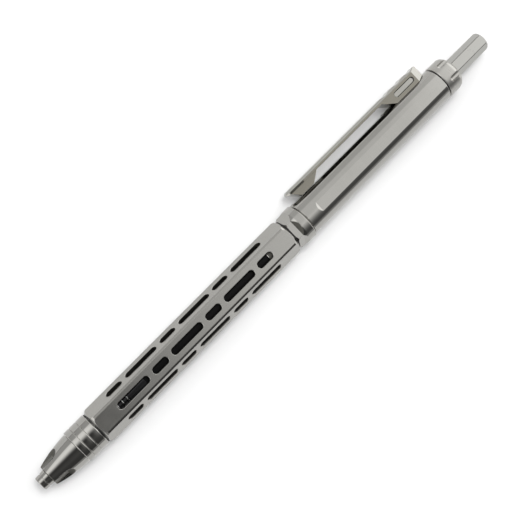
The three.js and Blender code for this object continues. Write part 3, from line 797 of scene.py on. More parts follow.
SATIN_TITANIUM = Finish("satin_titanium", (0.36, 0.353, 0.332), WORN_TITANIUM, Grain.TURNED, 0.26, 0.34)
DRAWN_TITANIUM = Finish("drawn_titanium", TITANIUM, WORN_TITANIUM, Grain.DRAWN, 0.16, 0.22)
TURNED_TITANIUM = Finish("turned_titanium", TITANIUM, WORN_TITANIUM, Grain.TURNED, 0.07, 0.12)
POLISHED_TITANIUM = Finish("polished_titanium", TITANIUM, WORN_TITANIUM, Grain.TURNED, 0.03, 0.07)
MILLED_TITANIUM = Finish("milled_titanium", (0.2, 0.19, 0.162), TITANIUM, Grain.DRAWN, 0.2, 0.28)
BLASTED_TITANIUM = Finish(
    "blasted_titanium", (0.365, 0.361, 0.342), WORN_TITANIUM, Grain.BLASTED, 0.26, 0.34, grain_depth=0.000004
)
BRIGHT_CUT = Finish("bright_cut_titanium", (0.315, 0.31, 0.286), WORN_TITANIUM, Grain.DRAWN, 0.1, 0.18)
# A rougher cut titanium for the cone's flutes, with painted shade: its colour is darkened to stand for the
# shade inside the flutes.
DULL_CUT_PAINTED_SHADE = Finish("dull_cut_painted_shade_titanium", (0.13, 0.127, 0.116), TITANIUM, Grain.DRAWN, 0.22, 0.32)
# Painted shade: a near-black titanium for the walls of slots, pockets and bores, the ends of the flutes, the
# collar's ramps and the button's edge chamfers, standing for the shade and dark reflections there.
PAINTED_DEEP_SHADE = Finish("painted_deep_shade_titanium", (0.095, 0.092, 0.082), (0.12, 0.117, 0.106), Grain.MOULDED, 0.4, 0.55)
SPRING_STEEL = Finish(
    "steel", (0.33, 0.33, 0.325), (0.45, 0.45, 0.44), Grain.DRAWN, 0.2, 0.3, edge_radius=0.00003
)
BRASS = Finish("brass", (0.62, 0.46, 0.2), (0.8, 0.66, 0.36), Grain.TURNED, 0.2, 0.32)
BLACK_PLASTIC = Finish(
    "black_plastic", (0.004, 0.004, 0.004), (0.008, 0.008, 0.008), Grain.MOULDED, 0.22, 0.32, metallic=0.0,
    ior=1.16,
)
GLOSSY_PLASTIC = Finish(
    "glossy_black_plastic", (0.008, 0.008, 0.0085), (0.02, 0.02, 0.02), Grain.MOULDED, 0.12, 0.18,
    metallic=0.0, ior=1.6,
)
BLACK_RUBBER = Finish(
    "black_rubber", (0.012, 0.012, 0.012), (0.025, 0.025, 0.025), Grain.MOULDED, 0.55, 0.75, metallic=0.0
)
WHITE_RESIN = Finish(
    "white_resin", (0.7, 0.69, 0.64), (0.8, 0.79, 0.75), Grain.MOULDED, 0.4, 0.55, metallic=0.0
)


@dataclass
class Workshop:
    """Sets finished pieces in the frame and keeps one material for each finish."""

    materials: dict[str, bpy.types.Material] = field(default_factory=dict)
    ring_mill: ShapeTree = field(default_factory=ring_mill)
    slot_mill: ShapeTree = field(default_factory=slot_mill)
    coil_winder: ShapeTree = field(default_factory=coil_winder)
    made: list[tuple[str, str, int]] = field(default_factory=list)

    def material(self, finish: Finish) -> bpy.types.Material:
        """Gives the material of a finish, which is written when it is first asked for.

        Args:
            finish: The finish.

        Returns:
            Its material.
        """
        if finish.name not in self.materials:
            self.materials[finish.name] = finish.material()
        return self.materials[finish.name]

    def mill_round(
        self, body: bpy.types.Object, cutter: bpy.types.Object, copies: int, first_turn: float, finish: Finish
    ) -> bpy.types.Object:
        """Mills copies of a cutter round the pen's axis.

        Args:
            body: The piece that is cut.
            cutter: The cutter on the +Z side, which is used up.
            copies: Number of copies.
            first_turn: Turn of the first copy, in degrees.
            finish: The finish of the piece.

        Returns:
            The piece, cut.
        """
        values = {"Cutter": cutter, "Copies": copies, "First Turn": math.radians(first_turn)}
        self.ring_mill.run(body, values | {"Finish": self.material(finish)})
        bpy.data.objects.remove(cutter)
        return body

    def fit(
        self, piece: bpy.types.Object, name: str, node: str, body: str, slot: str, finish: Finish,
        crease: float = SHARP_ANGLE,
    ) -> bpy.types.Object:
        """Dresses a finished piece and sets it in the frame in place of a solid.

        Args:
            piece: The piece, in millimetres on the pen's axis.
            name: Its name.
            node: The solid that it stands for.
            body: The body that it rides on.
            slot: The record's material slot; not used.
            finish: Its finish.
            crease: The angle between two faces, in degrees, above which their edge is sharp.

        Returns:
            The piece.
        """
        shift = Matrix.Translation((NOZZLE_X * MM, AXIS_Y * MM, AXIS_Z * MM))
        piece.data.transform(shift @ Matrix.Scale(MM, MATRIX_SIZE))
        piece.name = name
        piece.data.name = name
        piece.data.materials.clear()
        piece.data.materials.append(self.material(finish))
        smooth_with_sharp_edges(piece, crease)
        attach(piece, body)
        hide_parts(node)
        self.made.append((name, node, len(piece.data.polygons)))
        return piece

    def touch(self, piece: bpy.types.Object, finish: Finish, chosen: Chooser) -> None:
        """Gives some faces of a fitted piece a second finish, or painted shade.

        Args:
            piece: The piece, already fitted.
            finish: The second finish, or the painted shade.
            chosen: Tells from a face's middle, in millimetres on the pen's axis, and its normal.
        """
        piece.data.materials.append(self.material(finish))
        number = len(piece.data.materials) - 1
        shift = Vector((NOZZLE_X, AXIS_Y, AXIS_Z))
        for face in piece.data.polygons:
            if chosen(face.center / MM - shift, face.normal):
                face.material_index = number

    def dress(self, node: str, finish: Finish) -> None:
        """Gives a solid that stays as it is a better material.

        Args:
            node: The solid's name.
            finish: Its finish.
        """
        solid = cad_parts[node]
        solid.data.materials.clear()
        solid.data.materials.append(self.material(finish))
        self.made.append((node, node, len(solid.data.polygons)))


def smooth_with_sharp_edges(piece: bpy.types.Object, crease: float) -> None:
    """Shades a mesh smooth, with creases.

    Args:
        piece: The object.
        crease: The angle between two faces, in degrees, above which their edge is sharp.
    """
    work = bmesh.new()
    work.from_mesh(piece.data)
    for face in work.faces:
        face.smooth = True
        face.material_index = 0
    for edge in work.edges:
        edge.smooth = edge.calc_face_angle(0.0) < math.radians(crease)
    work.to_mesh(piece.data)
    work.free()


def bevelled(piece: bpy.types.Object, width: float, angle: float) -> bpy.types.Object:
    """Breaks the sharp edges of a mesh with a narrow chamfer.

    Args:
        piece: The object.
        width: The chamfer's width.
        angle: The angle between two faces, in degrees, above which their edge is broken.

    Returns:
        The same object.
    """
    bevel = piece.modifiers.new("bevel", "BEVEL")
    bevel.width = width
    bevel.segments = 1
    bevel.limit_method = "ANGLE"
    bevel.angle_limit = math.radians(angle)
    bevel.use_clamp_overlap = True
    return baked(piece)


def seal_ring(front: float, spigot: float, depth: float = SEAL_DEPTH) -> bpy.types.Object:
    """Makes the rubber ring that fills the joint behind a station.

    Args:
        front: The station.
        spigot: Radius of the spigot that the ring sits on.
        depth: Its depth outwards.

    Returns:
        The ring.
    """
    inner = spigot + SEAT
    low, high = front + SEAT, front + SEAL_GAP - SEAT
    outer = inner + depth
    return lathe(eased([
        (low, inner, SEAL_EASE), (low, outer, SEAL_ROUND), (high, outer, SEAL_ROUND),
        (high, inner, SEAL_EASE),
    ]))


@dataclass
class Nozzle:
    """The small grooved nozzle at the writing end."""

    shop: Workshop
    mouth_radius: float = 1.35
    mouth_depth: float = 0.1
    face_radius: float = 1.54
    chamfer: float = 0.14
    front_radius: float = 1.77
    rear_radius: float = 1.86
    groove_front: float = 1.2
    groove_rear: float = 1.4
    groove_radius: float = 1.61
    groove_slant: float = 0.02
    spigot_radius: float = 1.6
    spigot_rear: float = 4.75
    bore: float = 1.25
    ease: float = 0.05

    def build(self) -> None:
        """Turns and fits the nozzle, with its groove."""
        shoulder = CONE_FRONT - SEAT
        ease = self.ease
        body = lathe(eased([
            (0, self.face_radius, ease), (self.chamfer, self.face_radius + self.chamfer, ease),
            (self.groove_front, self.front_radius, ease),
            (self.groove_front + self.groove_slant, self.groove_radius),
            (self.groove_rear - self.groove_slant, self.groove_radius),
            (self.groove_rear, self.front_radius, ease), (shoulder, self.rear_radius, ease),
            (shoulder, self.spigot_radius), (self.spigot_rear, self.spigot_radius),
            (self.spigot_rear, self.bore), (self.mouth_depth, self.bore), (0, self.mouth_radius),
        ]))
        self.shop.fit(body, "nozzle", "nozzle_tip", "pen_body", "satin_titanium", TURNED_TITANIUM)


@dataclass
class Cone:
    """The polished ogive cone with its three flutes."""

    shop: Workshop
    front_radius: float = 2.65
    rear_radius: float = 3.94
    curve_power: float = 1.7
    chamfer: float = 0.12
    steps: int = 44
    spigot_length: float = 5.15
    step_front: float = 9.0
    spring_bore: float = 2.3
    spring_stop: float = 4.8
    nozzle_bore: float = 1.65
    flutes: int = 3
    flute_turn: float = 66.5
    flute_radius: float = 2.2
    flute_length: float = 5.1
    flute_depth: float = 0.2
    # Limits that tell the faces of a flute from the others
    skin: float = 0.02
    deepest: float = 1.3
    flute_end_share: float = 0.7
    front_slope: float = -0.9
    ball_slope: float = -0.3

    def build(self) -> None:
        """Builds and fits the cone."""
        shop = self.shop
        slot = "polished_titanium"
        cone = shop.fit(self.body(), "ogive_cone", "nose_cone", "pen_body", slot, POLISHED_TITANIUM)
        # Paints shade into the flutes, darker still at their round front ends.
        shop.touch(cone, DULL_CUT_PAINTED_SHADE, self.in_flute)
        shop.touch(cone, PAINTED_DEEP_SHADE, self.at_flute_end)

    def radius_at(self, share: float) -> float:
        """Returns the cone's radius at a share of its length."""
        drop = self.rear_radius - self.front_radius
        return self.rear_radius - drop * (1 - share) ** self.curve_power

    def body(self) -> bpy.types.Object:
        """Turns the cone on its curve and mills the flutes.

        Returns:
            The cone.
        """
        start = CONE_FRONT + self.chamfer
        outside = [(CONE_FRONT, self.front_radius - self.chamfer)]
        for step in range(self.steps + 1):
            share = step / self.steps
            outside.append((start + (RING_FRONT - start) * share, self.radius_at(share)))
        rear = GRIP_FRONT + self.spigot_length
        inside = [
            (RING_FRONT, THREAD_RADIUS), (rear, THREAD_RADIUS), (rear, REFILL_BORE),
            (self.step_front, REFILL_BORE), (self.step_front, self.spring_bore),
            (self.spring_stop, self.spring_bore), (self.spring_stop, self.nozzle_bore),
            (CONE_FRONT, self.nozzle_bore),
        ]
        body = lathe(outside + inside, FINE_SIDES)
        flute = ball_nosed(self.flute_length + OVERRUN, self.flute_radius)
        height = self.front_radius - self.flute_depth + self.flute_radius
        moved(flute, CONE_FRONT + self.flute_length, 0, height)
        return self.shop.mill_round(body, flute, self.flutes, self.flute_turn, POLISHED_TITANIUM)

    def in_flute(self, middle: Vector, normal: Vector) -> bool:
        """Tells whether a face lies in a flute, well below the cone's surface.

        Args:
            middle: The face's middle.
            normal: Its normal.

        Returns:
            Whether it does.
        """
        start = CONE_FRONT + self.chamfer
        share = (middle.x - start) / (RING_FRONT - start)
        depth = self.radius_at(min(max(share, 0), 1)) - math.hypot(middle.y, middle.z)
        sunk = self.skin < depth < self.deepest and share < self.flute_end_share
        return sunk and normal.x > self.front_slope

    def at_flute_end(self, middle: Vector, normal: Vector) -> bool:
        """Tells whether a face lies in the round end of a flute."""
        return self.in_flute(middle, normal) and normal.x < self.ball_slope


@dataclass
class NoseRing:
    """The sleeve with two fine grooves, and the seal behind it."""

    shop: Workshop
    radius: float = 4.22
    bore: float = 3.5
    front_chamfer: float = 0.15
    rear_chamfer: float = 0.2
    ease: float = 0.05
    rear_ease: float = 0.02
    groove_stations: Place = (1.6, 3.5)
    groove_width: float = 0.24
    groove_depth: float = 0.12
    groove_ease: float = 0.07
    groove_floor_ease: float = 0.03

    def build(self) -> None:
        """Builds and fits the ring and its seal."""
        slot = "polished_titanium"
        self.shop.fit(self.body(), "grooved_ring", "nose_ring", "pen_body", slot, POLISHED_TITANIUM)
        seal = seal_ring(GRIP_FRONT - SEAL_GAP, THREAD_RADIUS)
        self.shop.fit(seal, "front_seal", "nose_o_ring", "pen_body", "black_rubber", BLACK_RUBBER)

    def body(self) -> bpy.types.Object:
        """Turns the ring with its two grooves.

        Returns:
            The ring.
        """
        front, rear, radius = RING_FRONT + SEAT, GRIP_FRONT - SEAL_GAP, self.radius
        half = self.groove_width / 2
        outside: list[Place] = [
            (front, radius - self.front_chamfer, self.ease), (front + self.front_chamfer, radius, self.ease)
        ]
        for station in self.groove_stations:
            middle = front + station
            outside.append((middle - half, radius, self.groove_ease))
            outside.append((middle, radius - self.groove_depth, self.groove_floor_ease))
            outside.append((middle + half, radius, self.groove_ease))
        outside += [(rear - self.rear_chamfer, radius, self.rear_ease), (rear, radius - self.rear_chamfer)]
        return lathe(eased(outside + [(rear, self.bore), (front, self.bore)]), FINE_SIDES)


@dataclass
class Grip:
    """The hexagonal front barrel with its rows of slots, and the seal behind it."""

    shop: Workshop
    flat: float = 4.07
    corner_radius: float = 4.63
    end_radius: float = 3.9
    end_chamfer: float = 0.73
    cut_flat: float = 4.1
    cut_rise: float = 0.5
    edge: float = 0.32
    turned_sides: int = 360
    bore: float = 3.1
    thread_bore: float = 3.5
    front_thread: float = 5.2
    rear_thread: float = 7.45
    mouth: float = 0.1
    rows: int = 6
    pairs: int = 3
    slot_first: float = 6.1
    slot_width: float = 1.73
    slot_long: float = 9.3
    slot_short: float = 4.5
    bridge: float = 1.35
    rim: float = 0.09
    seal_depth: float = 0.4
    # Limits that tell the edges and the front rim from other faces
    square_on: float = 0.97
    along: float = 0.2
    rim_reach: float = 0.3
    rim_slope: float = -0.6

    def build(self) -> None:
        """Builds and fits the grip and its rear seal."""
        shop = self.shop
        slot = "satin_titanium"
        barrel = shop.fit(self.barrel(), "slotted_grip", "grip_barrel", "pen_body", slot, DRAWN_TITANIUM)
        shop.touch(barrel, POLISHED_TITANIUM, self.is_edge)
        # Paints shade on the walls of the slots and on the bore.
        shop.touch(barrel, PAINTED_DEEP_SHADE, self.is_inside)
        shop.touch(barrel, BLASTED_TITANIUM, self.is_front_rim)
        seal = seal_ring(GRIP_REAR, THREAD_RADIUS, self.seal_depth)
        shop.fit(seal, "middle_seal", "collar_o_ring", "pen_body", "black_rubber", BLACK_RUBBER)

    def barrel(self) -> bpy.types.Object:
        """Mills the hexagon from a turned bar, bores it and mills its slots.

        Returns:
            The barrel.
        """
        front, rear, chamfer = GRIP_FRONT, GRIP_REAR, self.end_chamfer
        body = lathe([
            (front, 0), (front, self.end_radius), (front + chamfer, self.corner_radius),
            (rear - chamfer, self.corner_radius), (rear, self.end_radius), (rear, 0),
        ], self.turned_sides)
        low, high = front - OVERRUN, rear + OVERRUN
        near = self.cut_flat - self.cut_rise * OVERRUN
        far = near + self.cut_rise * (high - low)
        corner_turn = math.degrees(math.pi / self.rows)
        shapes = [
            prism(low, high, self.flat, self.rows, 0, self.edge),
            prism(low, high, near, self.rows, corner_turn, rear_flat=far),
            prism(low, high, far, self.rows, corner_turn, rear_flat=near),
        ]
        carve(body, shapes, Carve.KEEP)
        carve(body, [self.bore_cutter()])
        first = front + self.slot_first
        floor = self.bore / 2
        tools = {}
        for label, length in (("Long", self.slot_long), ("Short", self.slot_short)):
            cutter = slot_cutter(first, first + length, self.slot_width, floor, self.flat, self.rim)
            tools |= {f"{label} Cutter": cutter, label: length}
        values = tools | {"Rows": self.rows, "Pairs": self.pairs, "Bridge": self.bridge}
        self.shop.slot_mill.run(body, values | {"Finish": self.shop.material(DRAWN_TITANIUM)})
        for label in ("Long Cutter", "Short Cutter"):
            bpy.data.objects.remove(tools[label])
        return body

    def bore_cutter(self) -> bpy.types.Object:
        """Makes the cutter of the bore, with a wider thread and a small mouth at both ends.

        Returns:
            The cutter.
        """
        front, rear = GRIP_FRONT, GRIP_REAR
        front_thread, rear_thread = front + self.front_thread, rear - self.rear_thread
        wide = self.thread_bore + OVERRUN + self.mouth
        return lathe([
            (front - OVERRUN, 0), (front - OVERRUN, wide), (front + self.mouth, self.thread_bore),
            (front_thread, self.thread_bore), (front_thread, self.bore), (rear_thread, self.bore),
            (rear_thread, self.thread_bore), (rear - self.mouth, self.thread_bore),
            (rear + OVERRUN, wide), (rear + OVERRUN, 0),
        ])

    def is_edge(self, middle: Vector, normal: Vector) -> bool:
        """Tells whether a face is one of the narrow chamfers along the hexagon."""
        outside = math.hypot(middle.y, middle.z) > self.flat
        return outside and along_sides(normal, self.rows) < self.square_on and abs(normal.x) < self.along

    def is_front_rim(self, middle: Vector, normal: Vector) -> bool:
        """Tells whether a face is the front end's face or the chamfer beside it."""
        return middle.x < GRIP_FRONT + self.rim_reach and normal.x < self.rim_slope

    def is_inside(self, middle: Vector, normal: Vector) -> bool:
        """Tells whether a face is the wall of a slot or of the bore."""
        below_flats = along_sides(middle, self.rows) < self.flat - self.rim
        return below_flats and math.hypot(middle.y, middle.z) < self.end_radius


@dataclass
class Collar:
    """The collar with six spanner flats between the grip and the barrel."""

    shop: Workshop
    radius: float = 4.57
    nose_radius: float = 4.33
    nose_drop: float = 0.42
    nose_rear: float = 1.4
    shoulder: float = 2.5
    chamfer: float = 0.3
    end_ease: float = 0.04
    edge_ease: float = 0.06
    nose_ease: float = 0.1
    shoulder_ease: float = 0.12
    spigot_front: float = GRIP_REAR - 7.4
    spigot_rear: float = 89.2
    spigot_chamfer: float = 0.15
    flat: float = 3.76
    flat_length: float = 1.55
    flat_ramp: float = 0.95
    flats: int = 6
    # Limits that tell the ramps and the part inside the grip from other faces
    ramp_end: float = 2.6
    ramp_slope: float = -0.45
    upright: float = 0.6
    inset: float = 0.4
    along: float = 0.3

    def build(self) -> None:
        """Builds and fits the collar."""
        shop, slot = self.shop, "satin_titanium"
        body = self.blank()
        reach = self.radius + OVERRUN
        low, end = COLLAR_FRONT - OVERRUN, COLLAR_FRONT + self.flat_length
        slant = self.flat_ramp / (self.radius - self.flat) * (reach - self.flat)
        side = [(low, self.flat), (end, self.flat), (end + slant, reach), (low, reach)]
        shop.mill_round(body, from_side(side, reach), self.flats, 0, SATIN_TITANIUM)
        collar = shop.fit(body, "collar", "joint_collar", "pen_body", slot, TURNED_TITANIUM)
        # Paints shade on the ramps behind the spanner flats and on the part inside the grip.
        shop.touch(collar, PAINTED_DEEP_SHADE, self.is_sunk)

    def blank(self) -> bpy.types.Object:
        """Turns the collar with its spigots.

        Returns:
            The collar, before its flats are milled.
        """
        front, rear, radius, nose = COLLAR_FRONT, BARREL_FRONT - SEAT, self.radius, self.nose_radius
        spigot, chamfer = self.spigot_front, self.chamfer
        return lathe(eased([
            (spigot, THREAD_RADIUS - self.spigot_chamfer), (spigot + self.spigot_chamfer, THREAD_RADIUS),
            (front, THREAD_RADIUS), (front, nose - self.nose_drop, self.end_ease),
            (front + chamfer, nose, self.edge_ease), (front + self.nose_rear, nose, self.nose_ease),
            (front + self.shoulder, radius, self.shoulder_ease), (rear - chamfer, radius, self.edge_ease),
            (rear, radius - chamfer, self.end_ease), (rear, SPIGOT_RADIUS),
            (self.spigot_rear, SPIGOT_RADIUS), (self.spigot_rear, REFILL_BORE), (spigot, REFILL_BORE),
        ]), FINE_SIDES)

    def is_sunk(self, middle: Vector, normal: Vector) -> bool:
        """Tells whether a face is a ramp behind a spanner flat, or lies inside the grip.

        Args:
            middle: The face's middle.
            normal: Its normal.

        Returns:
            Whether it is or does.
        """
        behind_flat = COLLAR_FRONT + self.flat_length < middle.x < COLLAR_FRONT + self.ramp_end
        slanted = normal.x < self.ramp_slope and abs(normal.z) > self.upright
        outside = math.hypot(middle.y, middle.z) > self.flat
        in_grip = middle.x < COLLAR_FRONT - self.inset and abs(normal.x) < self.along
        return (behind_flat and slanted and outside) or in_grip


@dataclass
class Barrel:
    """The upper barrel with its two milled flats, and the seal behind it."""

    shop: Workshop
    radius: float = BARREL_RADIUS
    flat: float = 4.07
    bore: float = 3.55
    front_chamfer: float = 0.2
    front_ease: float = 0.04
    rear_chamfer: float = 0.12
    rear_ease: float = 0.05
    end_ease: float = 0.03
    ramp: float = 0.6
    top_flat_start: float = 3.5
    top_flat_turn: float = -3.0
    side_flat_start: float = 0.9
    side_flat_rear: float = 113.7
    # Limits that tell the top flat's ramp from other faces
    upward: float = 0.8
    ramp_slope: float = -0.2
    wall: float = 0.3

    def build(self) -> None:
        """Builds and fits the barrel and its seal."""
        shop = self.shop
        front, rear = self.front_chamfer, self.rear_chamfer
        body = lathe(eased([
            (BARREL_FRONT, self.radius - front), (BARREL_FRONT + front, self.radius, self.front_ease),
            (BARREL_REAR - rear, self.radius, self.rear_ease),
            (BARREL_REAR, self.radius - rear, self.end_ease),
            (BARREL_REAR, self.bore), (BARREL_FRONT, self.bore),
        ]), FINE_SIDES)
        start = BARREL_FRONT + self.top_flat_start
        top = flat_cutter(start, self.ramp, BARREL_REAR + OVERRUN, self.flat, self.radius)
        start = BARREL_FRONT + self.side_flat_start
        side = flat_cutter(start, self.ramp, self.side_flat_rear, self.flat, self.radius)
        flats = [turned(top, self.top_flat_turn), turned(side, RIGHT_ANGLE)]
        carve(body, flats + ScrewHoles().cutters())
        slot = "satin_titanium"
        barrel = shop.fit(body, "rear_barrel", "upper_barrel", "pen_body", slot, TURNED_TITANIUM)
        shop.touch(barrel, BRIGHT_CUT, self.is_ramp)
        seal = seal_ring(BARREL_REAR, SPIGOT_RADIUS)
        shop.fit(seal, "rear_seal", "cap_o_ring", "pen_body", "black_rubber", BLACK_RUBBER)

    def is_ramp(self, middle: Vector, normal: Vector) -> bool:
        """Tells whether a face is the ramp at the front of the top flat."""
        slanted = normal.z > self.upward and normal.x < self.ramp_slope
        return slanted and math.hypot(middle.y, middle.z) > self.bore + self.wall


@dataclass
class PocketClip:
    """The one-piece clip: foot, arm and contact pad."""

    shop: Workshop
    half_width: float = 2.3
    top: float = 7.2
    arm: float = 1.1
    tip: float = BARREL_FRONT + 1.05
    foot: float = 117.8
    foot_slope: float = 3.2
    rear: float = 127.4
    rear_chamfer: float = 2.0
    rear_narrowing: float = 1.1
    edge_chamfer: float = 0.32
    side_chamfer: float = 0.55
    top_chamfer: float = 0.9
    top_share: float = 0.5
    tip_round: float = 0.42
    tip_half: float = 0.85
    taper_front: float = -0.4
    taper_half: float = 0.465
    cheek: float = 0.8
    cheek_half: float = 1.62
    full_width: float = 5.0
    saddle_front: float = 3.7
    saddle_radius: float = 4.33
    pad_front: float = 1.9
    pad_landing: Place = (1.9, 5.7)
    pad_length: float = 8.5
    pad_height: float = 4.19
    pad_half: float = 1.6
    pocket_front: float = 0.7
    pocket_length: float = 6.2
    pocket_width: float = 1.1
    pocket_height: float = 5.31
    pocket_depth: float = 0.35
    pocket_rim: float = 0.16
    dip_count: int = 3
    dip_radius: float = 3.4
    dip_rise: float = 3.16
    dip_first: float = -0.8
    dip_pitch: float = 4.15
    roller_half: float = 3.0
    roller_sides: int = 160
    bevel: float = 0.07
    bevel_angle: float = 30.0
    crease: float = 6.0
    # Limits that tell the sides and the walls of the pockets from other faces
    pocket_margin: float = 0.2
    skin: float = 0.01
    sideways: float = 0.95
    slanted: float = 0.9
    side_start: float = 1.2

    def build(self) -> None:
        """Builds and fits the clip."""
        shop, slot = self.shop, "satin_titanium"
        body = self.blank()
        carve(body, [self.pad()], Carve.JOIN)
        front, rear = self.foot - self.saddle_front, self.rear + OVERRUN
        saddle = bar(front, rear, self.saddle_radius, FINE_SIDES)
        carve(body, [saddle, *self.pockets(), *self.dips(), *ScrewHoles().cutters()])
        bevelled(body, self.bevel, self.bevel_angle)
        clip = shop.fit(body, "pocket_clip", "clip", "pen_body", slot, BRIGHT_CUT, self.crease)
        shop.touch(clip, MILLED_TITANIUM, self.is_side)
        # Paints shade on the walls of the side pockets.
        shop.touch(clip, PAINTED_DEEP_SHADE, self.is_pocket_wall)

    def is_side(self, middle: Vector, normal: Vector) -> bool:
        """Tells whether a face is a side, or the taper beside the tip."""
        level = abs(normal.z) > self.sideways and abs(middle.z) > self.side_start
        return level and not self.is_pocket_floor(middle)

    def is_pocket_floor(self, middle: Vector) -> bool:
        """Tells whether a place lies on the floor of a side pocket."""
        height = abs(middle.z) - self.half_width + self.pocket_depth
        return middle.x > self.foot and abs(height) < 2 * self.skin

    def is_pocket_wall(self, middle: Vector, normal: Vector) -> bool:
        """Tells whether a face is the wall of a side pocket.

        Args:
            middle: The face's middle.
            normal: Its normal.

        Returns:
            Whether it is.
        """
        length, width = self.pocket_length / 2, self.pocket_width / 2
        behind = middle.x - self.foot - self.pocket_front - length
        near = abs(behind) < length + self.pocket_margin
        near = near and abs(middle.y - self.pocket_height) < width + self.pocket_margin
        floor, face = self.half_width - self.pocket_depth, self.half_width
        return near and abs(normal.z) < self.slanted and floor + self.skin < abs(middle.z) < face - self.skin

    def blank(self) -> bpy.types.Object:
        """Makes the clip's blank from its side, plan and end views.

        Returns:
            The blank.
        """
        top, under, low = self.top, self.top - self.arm, math.sqrt(BARREL_RADIUS**2 - self.half_width**2)
        wide, tip, rear, ease, nose = self.half_width, self.tip, self.rear, self.edge_chamfer, self.tip_round
        side = plate([
            (tip, under + nose), (tip + nose, under), (self.foot - self.foot_slope, under),
            (self.foot, low), (rear, low), (rear, top - ease), (rear - ease, top),
            (tip + nose, top), (tip, top - nose),
        ], -wide, wide)
        cheek, full = (tip + self.cheek, self.cheek_half), (tip + self.full_width, wide)
        half_plan = [
            (tip, self.tip_half), cheek, full,
            (rear - self.rear_chamfer, wide), (rear, wide - self.rear_narrowing),
        ]
        plan = [(x, -z) for x, z in half_plan] + half_plan[::-1]
        from_above = turned(plate([(x, -z) for x, z in plan], 0, top + OVERRUN), RIGHT_ANGLE)
        shoulder = top - self.side_chamfer
        rings = []
        for x, half in ((tip + self.taper_front, self.taper_half), cheek, full, (rear + OVERRUN, wide)):
            inner = half - min(self.top_chamfer, self.top_share * half)
            end = [(0, -half), (0, half), (shoulder, half), (top, inner), (top, -inner), (shoulder, -half)]
            rings.append([(x, y, z) for y, z in end])
        return carve(side, [from_above, loft(rings)], Carve.KEEP)

    def pad(self) -> bpy.types.Object:
        """Makes the pad that presses on the barrel's side flat.

        Returns:
            The pad.
        """
        start, under = BARREL_FRONT + self.pad_front, self.top - self.arm
        first, last = self.pad_landing
        end = start + self.pad_length
        return plate([
            (start, under + OVERRUN), (start, under), (start + first, self.pad_height),
            (start + last, self.pad_height), (end, under), (end, under + OVERRUN),
        ], -self.pad_half, self.pad_half)

    def pockets(self) -> list[bpy.types.Object]:
        """Makes the cutters of the long pockets on both sides of the foot.

        Returns:
            The two cutters.
        """
        front = self.foot + self.pocket_front
        rear, face = front + self.pocket_length, self.half_width
        cutters = []
        for turn in (0.0, HALF_TURN):
            floor = face - self.pocket_depth
            cutter = slot_cutter(front, rear, self.pocket_width, floor, face, self.pocket_rim)
            cutters.append(moved(turned(cutter, turn), 0, self.pocket_height))
        return cutters

    def dips(self) -> list[bpy.types.Object]:
        """Makes the rollers that leave shallow dips across the top of the foot.

        Returns:
            One roller for each dip.
        """
        rollers = []
        for i in range(self.dip_count):
            roller = bar(-self.roller_half, self.roller_half, self.dip_radius, self.roller_sides)
            station = self.foot + self.dip_first + self.dip_pitch * i
            rollers.append(moved(turned(roller, RIGHT_ANGLE, "Y"), station, self.top + self.dip_rise))
        return rollers


@dataclass
class Cap:
    """The end cap with its notches and the hexagonal hole of the push button."""

    shop: Workshop
    radius: float = 4.3
    chamfer: float = 0.15
    lip_ease: float = 0.04
    rim_ease: float = 0.05
    round: float = 1.5
    round_steps: int = 16
    spigot_length: float = 5.3
    rod_flat: float = 2.0958
    rod_gap: float = 0.1
    notches: int = 6
    notch_turn: float = 43.0
    notch_radius: float = 0.72
    notch_length: float = 3.4

    def build(self) -> None:
        """Builds and fits the cap."""
        shop, radius = self.shop, self.radius
        spigot = CAP_FRONT - self.spigot_length
        lip = eased([
            (CAP_FRONT, SPIGOT_RADIUS), (CAP_FRONT, radius - self.chamfer, self.lip_ease),
            (CAP_FRONT + self.chamfer, radius, self.rim_ease), (CAP_REAR, radius),
        ])[:-1]
        rear_round = quarter_round(CAP_REAR, radius, self.round, self.round_steps)
        profile = [(spigot, 0), (spigot, SPIGOT_RADIUS), *lip, *rear_round, (CAP_REAR, 0)]
        body = lathe(profile, FINE_SIDES)
        flat = self.rod_flat + self.rod_gap
        carve(body, [prism(spigot - OVERRUN, CAP_REAR + OVERRUN, flat, ROD_SIDES, ROD_TURN)])
        notch = turned(ball_nosed(self.notch_length + OVERRUN, self.notch_radius), HALF_TURN, "Z")
        moved(notch, CAP_REAR - self.notch_length, 0, radius)
        shop.mill_round(body, notch, self.notches, self.notch_turn, SATIN_TITANIUM)
        shop.fit(body, "notched_cap", "end_cap", "pen_body", "satin_titanium", SATIN_TITANIUM)


@dataclass
class PushButton:
    """The hexagonal push button with its tail inside the barrel."""

    shop: Workshop
    corner: float = 2.42
    round: float = 0.9
    round_steps: int = 12
    turned_sides: int = 240
    edge: float = 0.08
    front: float = 124.0
    tail_length: float = 7.2
    tail_root: float = 1.5
    tail_radius: float = 1.5
    # Limits that tell the edges from other faces
    square_on: float = 0.97
    along: float = 0.3

    def build(self) -> None:
        """Builds and fits the push button."""
        shop, front, slot = self.shop, self.front, "satin_titanium"
        flat = self.corner * math.cos(math.pi / ROD_SIDES)
        end = quarter_round(ROD_REAR, self.corner, self.round, self.round_steps)
        body = lathe([(front, 0), (front, self.corner), *end, (ROD_REAR, 0)], self.turned_sides)
        shape = prism(front - OVERRUN, ROD_REAR + OVERRUN, flat, ROD_SIDES, ROD_TURN, self.edge)
        carve(body, [shape], Carve.KEEP)
        tail = bar(front - self.tail_length, front + self.tail_root, self.tail_radius)
        carve(body, [tail], Carve.JOIN)
        button = shop.fit(body, "push_button", "knock_rod", "knock", slot, BLASTED_TITANIUM)
        # Paints dark reflections on the hexagon's edge chamfers, as two dark lines.
        shop.touch(button, PAINTED_DEEP_SHADE, self.is_edge)

    def is_edge(self, middle: Vector, normal: Vector) -> bool:
        """Tells whether a face is one of the narrow chamfers along the hexagon."""
        between = along_sides(normal, ROD_SIDES, ROD_TURN) < self.square_on
        return middle.x < ROD_REAR - self.round and between and abs(normal.x) < self.along


